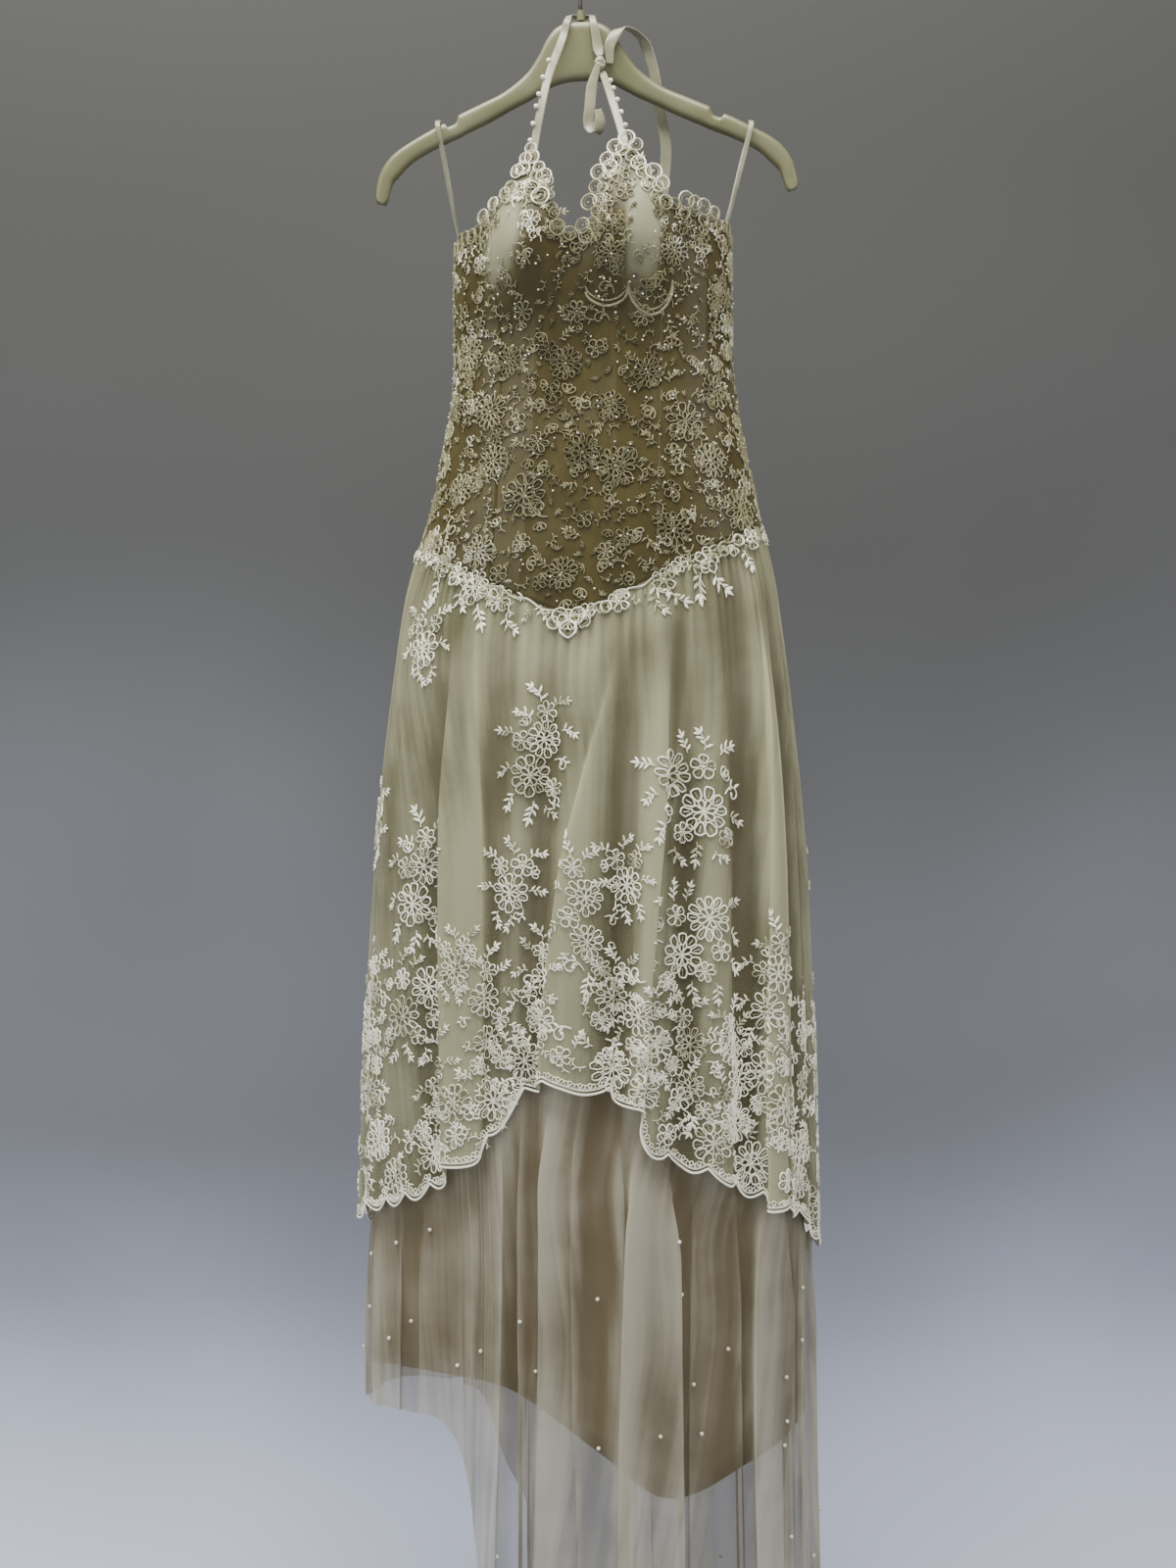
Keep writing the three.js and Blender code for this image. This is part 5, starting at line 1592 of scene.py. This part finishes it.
def inside_bodice(angle, below, inset, wide, side=1):
    """A row on the inside of the bodice, this far below its top edge and in from its wall."""
    down = neckline_at(angle) + below
    at = on_body(angle, down, cup_rise(angle, down) - inset)
    out = on_body(angle, down, cup_rise(angle, down) - inset + 1) - at
    return (at, side * out, wide)


def smooth_path(rows, samples):
    """A curve through the rows' places, as points, ways to face and widths."""
    places = np.array([row[0] for row in rows])
    ends = [2 * places[0] - places[1], *places, 2 * places[-1] - places[-2]]
    t = np.linspace(0, len(rows) - 1, samples)
    step = np.minimum(t.astype(int), len(rows) - 2)
    share = (t - step)[:, None]
    p0, p1, p2, p3 = (np.array(ends)[step + k] for k in range(4))
    d0, d1, d2 = (np.sqrt(np.linalg.norm(b - a, axis=1))[:, None] for a, b in ((p0, p1), (p1, p2), (p2, p3)))
    m1 = ((p1 - p0) / d0 - (p2 - p0) / (d0 + d1) + (p2 - p1) / d1) * d1
    m2 = ((p2 - p1) / d1 - (p3 - p1) / (d1 + d2) + (p3 - p2) / d2) * d1
    cubic = 2 * p1 - 2 * p2 + m1 + m2
    square = 3 * p2 - 3 * p1 - 2 * m1 - m2
    points = p1 + m1 * share + square * share**2 + cubic * share**3
    faces = np.array([row[1] for row in rows])
    face = faces[step] * (1 - share) + faces[step + 1] * share
    widths = np.array([row[2] for row in rows], float)
    wide = widths[step] * (1 - share[:, 0]) + widths[step + 1] * share[:, 0]
    return points, face, wide


RIBBON_COLUMNS = 6
RIBBON_CUP = 0.03
RIBBON_RIPPLE = 17


def ribbon(name, node, rows, samples, slack=0.0):
    """A satin ribbon along a path, a little cupped across and with a slow ripple in it."""
    points, face, wide = smooth_path(rows, samples)
    tangent = np.gradient(points, axis=0)
    tangent /= np.linalg.norm(tangent, axis=1, keepdims=True)
    across = np.cross(face, tangent)
    across /= np.linalg.norm(across, axis=1, keepdims=True)
    out = np.cross(tangent, across)
    run = np.concatenate([[0], np.cumsum(np.linalg.norm(np.diff(points, axis=0), axis=1))])
    share = np.linspace(-0.5, 0.5, RIBBON_COLUMNS + 1)
    cup = RIBBON_CUP * (1 - (2 * share) ** 2)
    ripple = slack * np.sin(run / RIBBON_RIPPLE)[:, None] * share[None]
    off = RIBBON_WALL / 2 + wide[:, None] * cup[None] + ripple
    aside = wide[:, None] * share
    grid = points[:, None] + across[:, None] * aside[..., None] + out[:, None] * off[..., None]
    uv = np.stack([np.broadcast_to(run[:, None], off.shape), aside], -1).reshape(-1, 2)
    made = make_object(name, grid.reshape(-1, 3), grid_faces(RIBBON_COLUMNS, samples - 1), RIBBON, uv)
    thicken(made, RIBBON_WALL)
    dress_piece(made, "ribbon", node)
    return made


# The ribbons' routes: across, front to back and down, the way the face looks and the width.
LEFT_STRAP = [
    inside_bodice(-PEAK_ANGLE, STRAP_SEWN, STRAP_INSET, STRAP_WIDE),
    inside_bodice(-PEAK_ANGLE, STRAP_EDGE, STRAP_INSET, STRAP_WIDE),
    via(-32, -52, 160, FRONT, STRAP_WIDE),
    via(-15, -12, 98, FRONT, STRAP_WIDE),
    via(-11, -8.5, 82, FRONT, KNOT_WIDE),
    via(-8, 0, 74, UP, LOOP_WIDE),
    via(2.5, 9.5, 74, BACK, LOOP_WIDE),
    via(13, 0, 74, UP, LOOP_WIDE),
    via(15, -8.5, 82, FRONT, KNOT_WIDE),
    via(20.5, -11.5, 111, FRONT, RIBBON_WIDE),
    via(22, -13.5, 118.9, FRONT, KNOT_WIDE),
]
RIGHT_STRAP = [
    inside_bodice(PEAK_ANGLE, STRAP_SEWN, STRAP_INSET, STRAP_WIDE),
    inside_bodice(PEAK_ANGLE, STRAP_EDGE, STRAP_INSET, STRAP_WIDE),
    via(33, -48, 170, FRONT, STRAP_WIDE),
    via(24.5, -13.5, 135.1, FRONT, KNOT_WIDE),
]
TIE_LOOP = [
    via(21, -19.4, 127, FRONT, LOOP_WIDE),
    via(14, -21, 152, FRONT, RIBBON_WIDE),
    via(12, -22, 172, FRONT, RIBBON_WIDE),
    via(11, -23, 192, FRONT, RIBBON_WIDE),
    via(18, -27, 201, UP, RIBBON_WIDE),
    via(22, -31, 190, BACK, RIBBON_WIDE),
    via(20, -30, 178, BACK, KNOT_WIDE),
]
TIE_TAIL = [
    via(32, -13.5, 127, FRONT, KNOT_WIDE),
    via(33, -14, 106, FRONT, RIBBON_WIDE),
    via(46, -8, 89, UP, RIBBON_WIDE),
    via(64, 2, 96, UP, RIBBON_WIDE),
    via(76, 11, 122, BACK, RIBBON_WIDE),
    via(83, 13, 165, BACK, RIBBON_WIDE),
    via(90, 12, 205, BACK, RIBBON_WIDE),
    via(88, 12, 240, BACK, RIBBON_WIDE),
    via(85, 12, 272, BACK, RIBBON_WIDE),
]


def hanger_loop_path(side, across, top):
    """From inside a side seam, over an arm of the hanger and back."""
    outer, inner = LOOP_INSETS
    angle = side * LOOP_ANGLE
    clear = ARM_HALF_DEPTH + ARM_GAP
    x = side * across
    front_foot = inside_bodice(angle, 0, outer, LOOP_WIDE)
    back_foot = inside_bodice(angle, 0, inner, LOOP_WIDE, -1)
    front_top = via(x, -clear, top + LOOP_SHOULDER, FRONT, LOOP_WIDE)
    back_top = via(x, clear, top + LOOP_SHOULDER, BACK, LOOP_WIDE)
    return [
        inside_bodice(angle, LOOP_SEWN, outer, LOOP_WIDE),
        front_foot,
        *[between(front_foot, front_top, share) for share in LOOP_STOPS],
        front_top,
        via(x, 0, top - LOOP_CREST, UP, LOOP_WIDE),
        back_top,
        *[between(back_foot, back_top, share) for share in reversed(LOOP_STOPS)],
        back_foot,
        inside_bodice(angle, LOOP_SEWN, inner, LOOP_WIDE, -1),
    ]


def between(first, last, share):
    """A row on the straight line between two rows."""
    return tuple(a + (b - a) * share for a, b in zip(first, last))


def strap_pearls(name, rows, stops, side):
    """Pearls sewn along one edge of a strap, at these distances down."""
    points, face, wide = smooth_path(rows, STRAP_SAMPLES)
    ahead = np.gradient(points, axis=0)
    across = np.cross(face, ahead)
    across /= np.linalg.norm(across, axis=1, keepdims=True)
    reach = np.argmax(-points[:, 2] < STRAP_TOP) or len(points)
    picks = [int(np.argmin(np.abs(-points[:reach, 2] - stop))) for stop in stops]
    aside = side * (wide[picks] / 2 + STRAP_PEARL["aside"])
    centres = points[picks] + across[picks] * aside[:, None] + np.array(FRONT) * STRAP_PEARL["forward"]
    return pearls(name, centres, np.full(len(picks), STRAP_PEARL["radius"]), STRAP_PEARL["detail"])


LEFT_PEARLS = strap_pearls("strap_pearls_left", LEFT_STRAP, (130, 152, 169, 186, 203, 218), 1)
RIGHT_PEARLS = strap_pearls("strap_pearls_right", RIGHT_STRAP, (150, 161, 176, 191, 206), -1)
for bead_piece in (LEFT_PEARLS, RIGHT_PEARLS):
    dress_piece(bead_piece, "lace")

ribbon("halter_strap_left_ribbon", "halter_strap_left", LEFT_STRAP, samples=160, slack=0.6)
ribbon("halter_strap_right_ribbon", "halter_strap_right", RIGHT_STRAP, samples=80, slack=0.6)
ribbon("tie_loop_ribbon", "tie_loop", TIE_LOOP, samples=90, slack=0.8)
ribbon("tie_tail_ribbon", "tie_tail", TIE_TAIL, samples=130, slack=1.2)
ribbon("hanger_loop_left_ribbon", "hanger_loop_left", hanger_loop_path(-1, across=143, top=184),
       samples=120)
ribbon("hanger_loop_right_ribbon", "hanger_loop_right", hanger_loop_path(1, across=176, top=184),
       samples=120)

KNOT = {"x": 22, "y": -13.5, "down": 127, "wide": 6, "deep": 5, "tall": 8}
KNOT_COLUMNS = 40
KNOT_ROWS = 28
KNOT_POLE = 0.03
# Waves of the wound ribbon: their size, and how many lie round the knot and up it.
KNOT_WOUND = table("size around up", (0.09, 2, 5), (0.05, 1, 7))
KNOT_WAIST = {"at": 1.7, "deep": 0.1, "tall": 0.25}


def tie_knot():
    """The knot: ribbon wound slantwise round itself, with a waist in the middle."""
    u, v = np.meshgrid(np.linspace(0, 2 * np.pi, KNOT_COLUMNS + 1),
                       np.linspace(KNOT_POLE, np.pi - KNOT_POLE, KNOT_ROWS + 1))
    wound = 0
    for size, around, up in rows_of(KNOT_WOUND):
        wound = wound + size * np.sin(around * u + up * v)
    waist = KNOT_WAIST["deep"] * np.exp(-(((v - KNOT_WAIST["at"]) / KNOT_WAIST["tall"]) ** 2))
    reach = (1 + wound - waist) * np.sin(v)
    x = KNOT["x"] + KNOT["wide"] * reach * np.cos(u)
    y = KNOT["y"] + KNOT["deep"] * reach * np.sin(u)
    z = -KNOT["down"] + KNOT["tall"] * np.cos(v)
    points = np.stack([x, y, z], -1).reshape(-1, 3)
    uv = np.stack([u * KNOT["wide"], v * KNOT["tall"]], -1).reshape(-1, 2)
    return make_object("tie_knot_ribbon", points, grid_faces(KNOT_COLUMNS, KNOT_ROWS), RIBBON, uv)


dress_piece(tie_knot(), "ribbon", "tie_knot")


# The strip over the zip.

ZIP_ANGLE = 180
ZIP_STEP = 0.5
ZIP_HALF_WIDTH = 7
ZIP_LIFT = 2.25
ZIP_WALL = 0.9
ZIP_COLUMNS = 14
ZIP_ROWS = 90
ZIP_BELOW_NECK = 3
ZIP_ABOVE_WAIST = 20
# Across the strip, from its middle at 0 to its edge at 1: a folded edge, a seam and a row of stitches.
ZIP_EDGE = {"at": 0.72, "wide": 0.1, "high": 0.5}
ZIP_SEAM = {"at": 0, "wide": 0.08, "high": -0.25}
ZIP_STITCH = {"at": 0.55, "wide": 0.06, "high": 0.15}
STITCH_PITCH = 3.2


def zip_ridge(across, form):
    """A ridge along the strip, on either side of its middle."""
    return form["high"] * np.exp(-(((np.abs(across) - form["at"]) / form["wide"]) ** 2))


def zip_strip():
    """A lapped strip with a folded edge on either side and a row of stitches along them."""
    u, v = np.meshgrid(np.linspace(-1, 1, ZIP_COLUMNS + 1), np.linspace(0, 1, ZIP_ROWS + 1))
    top = NECKLINE["down"][-1] + ZIP_BELOW_NECK
    foot = WAIST_SIDE + WAIST_BACK_POINT - ZIP_ABOVE_WAIST
    down = top * (1 - v) + foot * v
    middle = on_body(ZIP_ANGLE, down, BODICE_WALL + ZIP_LIFT)
    side = on_body(ZIP_ANGLE + ZIP_STEP, down, BODICE_WALL + ZIP_LIFT) - middle
    side /= np.linalg.norm(side, axis=-1, keepdims=True)
    stitches = np.cos(2 * np.pi * down / STITCH_PITCH) * zip_ridge(u, ZIP_STITCH)
    fold = zip_ridge(u, ZIP_EDGE) + zip_ridge(u, ZIP_SEAM) + stitches
    out = np.cross(side, [0, 0, 1])
    points = middle + side * (u * ZIP_HALF_WIDTH)[..., None] - out * fold[..., None]
    uv = np.stack([u * ZIP_HALF_WIDTH, -down], -1).reshape(-1, 2)
    return make_object("zip_strip_satin", points.reshape(-1, 3), grid_faces(ZIP_COLUMNS, ZIP_ROWS), SATIN, uv)


dress_piece(thicken(zip_strip(), ZIP_WALL), "bodice_cloth", "zip_placket")


# The hanger's upper and lower edge at stops along one arm, from its middle to its tip, before it is tilted.
HANGER_ARM = table(
    "stop top_across top_down foot_across foot_down",
    (0, 0, 80, 0, 141), (1, 15, 81, 12, 141.5), (2, 27, 87, 21, 143), (3, 36, 98, 31, 146),
    (4, 44, 113, 42, 152), (5, 57, 131, 56, 160), (6, 80, 149, 74, 168.5), (7, 104, 160.3, 96, 180),
    (8, 126, 170.2, 116, 189), (9, 129, 172.5, 120, 191), (10, 131.5, 179.5, 125, 193.5),
    (11, 140, 183, 132, 196.5), (12, 144, 179.5, 137, 198.5), (13, 160, 187.3, 151, 204.7),
    (14, 176, 196, 165, 211.7), (15, 190, 204.5, 178, 220), (16, 202, 215, 189, 231),
    (17, 212, 232, 197, 240), (18, 216, 252, 202.5, 257), (19, 213.5, 259.5, 206, 261.5),
)
HANGER_TILT = math.radians(2)
HANGER_STEPS = 76
# The share of a narrow arm's height that its two round edges take.
HANGER_ROUND = 0.9
# How far in from the outline the moulded edge is, and how deep the hanger is there.
HANGER_EDGE = table("inset depth", (0, 0), (0.4, 2), (1.6, 4), (4, 5.5), (7.5, 6.25), (11.5, 6.5))


def hanger_body():
    """A moulded slab with round edges, as rings from one tip to the other."""
    stops = np.linspace(-HANGER_ARM["stop"][-1], HANGER_ARM["stop"][-1], 2 * HANGER_STEPS + 1)
    at = {name: along(HANGER_ARM, "stop", np.abs(stops), name) for name in HANGER_ARM}
    side = np.sign(stops)
    top = np.column_stack([side * at["top_across"], -at["top_down"]])
    foot = np.column_stack([side * at["foot_across"], -at["foot_down"]])
    tall = np.linalg.norm(foot - top, axis=1)
    inset, depth = HANGER_EDGE["inset"], HANGER_EDGE["depth"]
    edge = np.outer(np.minimum(1, HANGER_ROUND * tall / (2 * inset[-1])), inset) / tall[:, None]
    share = np.concatenate([edge, 1 - edge[:, ::-1], 1 - edge[:, 1:], edge[:, ::-1]], 1)
    y = np.concatenate([-depth, -depth[::-1], depth[1:], depth[::-1]])
    y = np.tile(y, (len(stops), 1))
    y[[0, -1]] = 0
    flat = top[:, None] + (foot - top)[:, None] * share[:, :, None]
    x = flat[..., 0] * math.cos(HANGER_TILT) - flat[..., 1] * math.sin(HANGER_TILT)
    z = flat[..., 0] * math.sin(HANGER_TILT) + flat[..., 1] * math.cos(HANGER_TILT)
    points = np.stack([x, y, z], -1).reshape(-1, 3)
    return make_object("hanger_body_moulded", points, grid_faces(y.shape[1] - 1, len(stops) - 1), PLASTIC)


dress_piece(hanger_body(), "hanger_plastic", "hanger_body")
for node, finish in (("hanger_collar", PLASTIC), ("hanger_hook", WIRE)):
    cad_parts[node].data.materials.clear()
    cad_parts[node].data.materials.append(finish)


# Stage, light and camera.

BACKDROP_Y = 0.45
BACKDROP_TOP = 1.6
BACKDROP_HALF = 3.2
BACKDROP_NEAR = -4.5
FLOOR_Z = -1.86
FLOOR_HALF = 4.5
FLOOR_DROP = 0.004
COVE = 0.4
COVE_POINTS = 17


def backdrop_material():
    """A sheet that shows from its front alone, so that other views look through its back. Its colour is
    painted light, bright and bluish near the floor and darker up the wall, in soft uneven patches.
    """
    material, shader = new_material("backdrop", roughness=0.9)
    layout = object_layout(material)
    height = add_node(material, "ShaderNodeSeparateXYZ", Vector=layout).outputs["Z"]
    # Painted light: height with soft blotches, turned into a bright foot and a dark top.
    raised = arithmetic(material, "MULTIPLY_ADD", noise(material, layout, scale=1.4, detail=2), 0.5, height)
    paint(material, shader, spread(material, raised, -1.5, 0.2), BACKDROP_PAINTED_LIGHT)
    clear = add_node(material, "ShaderNodeBsdfTransparent")
    behind = add_node(material, "ShaderNodeNewGeometry").outputs["Backfacing"]
    mix = add_node(material, "ShaderNodeMixShader", i0=behind, i1=shader.outputs[0], i2=clear.outputs[0])
    link(material, mix.outputs[0], material.node_tree.nodes["Material Output"].inputs["Surface"])
    return material


def backdrop():
    """A wall that turns into the floor in one round sweep, and a wide floor under it for the other views."""
    profile = [(BACKDROP_Y, BACKDROP_TOP)]
    for turn in np.linspace(0, math.pi / 2, COVE_POINTS):
        profile.append((BACKDROP_Y - COVE * (1 - math.cos(turn)), FLOOR_Z + COVE * (1 - math.sin(turn))))
    profile.append((BACKDROP_NEAR, FLOOR_Z))
    points = np.array([(x, y, z) for y, z in profile for x in (-BACKDROP_HALF, BACKDROP_HALF)]) / MM
    material = backdrop_material()
    sweep = make_object("backdrop", points, grid_faces(1, len(profile) - 1), material)
    sweep.visible_shadow = False
    ends = (-FLOOR_HALF, FLOOR_HALF)
    corners = [(x, y, FLOOR_Z - FLOOR_DROP) for y in reversed(ends) for x in ends]
    floor = make_object("floor", np.array(corners) / MM, grid_faces(1, 1), material)


# Soft lights: place, what it points at, width and height, watts and colour.
LIGHTS = {
    "top_light": ((-0.3, -0.7, 1.5), (0, 0, -0.7), (2.2, 1.2), 175, (1.0, 0.99, 0.93)),
    "left_light": ((-2.4, -1.6, 0.3), (0, 0, -0.9), (1.4, 2.0), 38, (0.98, 1.0, 0.95)),
    "right_light": ((2.6, -1.4, 0.2), (0, 0, -0.9), (1.4, 2.0), 30, (1.0, 0.97, 0.92)),
    "front_light": ((0.2, -4.0, -0.6), (0, 0, -1.0), (2.6, 2.4), 18, (1.0, 0.98, 0.94)),
    "back_light": ((0.4, 3.2, 0.7), (0, 0, -0.9), (2.4, 2.0), 130, (1.0, 0.98, 0.94)),
}
SKY = (0.62, 0.64, 0.68, 1)
SKY_STRENGTH = 0.5


def area_light(name, place, target, size, watts, colour):
    """A soft rectangular light that points at a target."""
    light = bpy.data.lights.new(name, "AREA")
    light.shape = "RECTANGLE"
    light.size, light.size_y = size
    light.energy = watts
    light.color = colour
    made = bpy.data.objects.new(name, light)
    made.location = place
    made.rotation_euler = (Vector(target) - Vector(place)).to_track_quat("-Z", "Y").to_euler()
    bpy.context.scene.collection.objects.link(made)


def lights():
    """The soft lights and an even grey sky."""
    for name, row in LIGHTS.items():
        area_light(name, *row)
    world = bpy.data.worlds.new("studio")
    world.use_nodes = True
    world.node_tree.nodes["Background"].inputs["Color"].default_value = SKY
    world.node_tree.nodes["Background"].inputs["Strength"].default_value = SKY_STRENGTH
    bpy.context.scene.world = world


CAMERA_PLACE = (0.010, -2.5, -0.858)
CAMERA_LENS = 56.25
CAMERA_SENSOR = 36


def camera():
    """Level, and as far off as makes one photograph pixel one millimetre at the hook."""
    lens = bpy.data.cameras.new("camera")
    lens.lens = CAMERA_LENS
    lens.sensor_width = CAMERA_SENSOR
    made = bpy.data.objects.new("camera", lens)
    made.location = CAMERA_PLACE
    made.rotation_euler = (math.pi / 2, 0, 0)
    bpy.context.scene.collection.objects.link(made)
    bpy.context.scene.camera = made


backdrop()
lights()
camera()
bpy.context.view_layer.update()
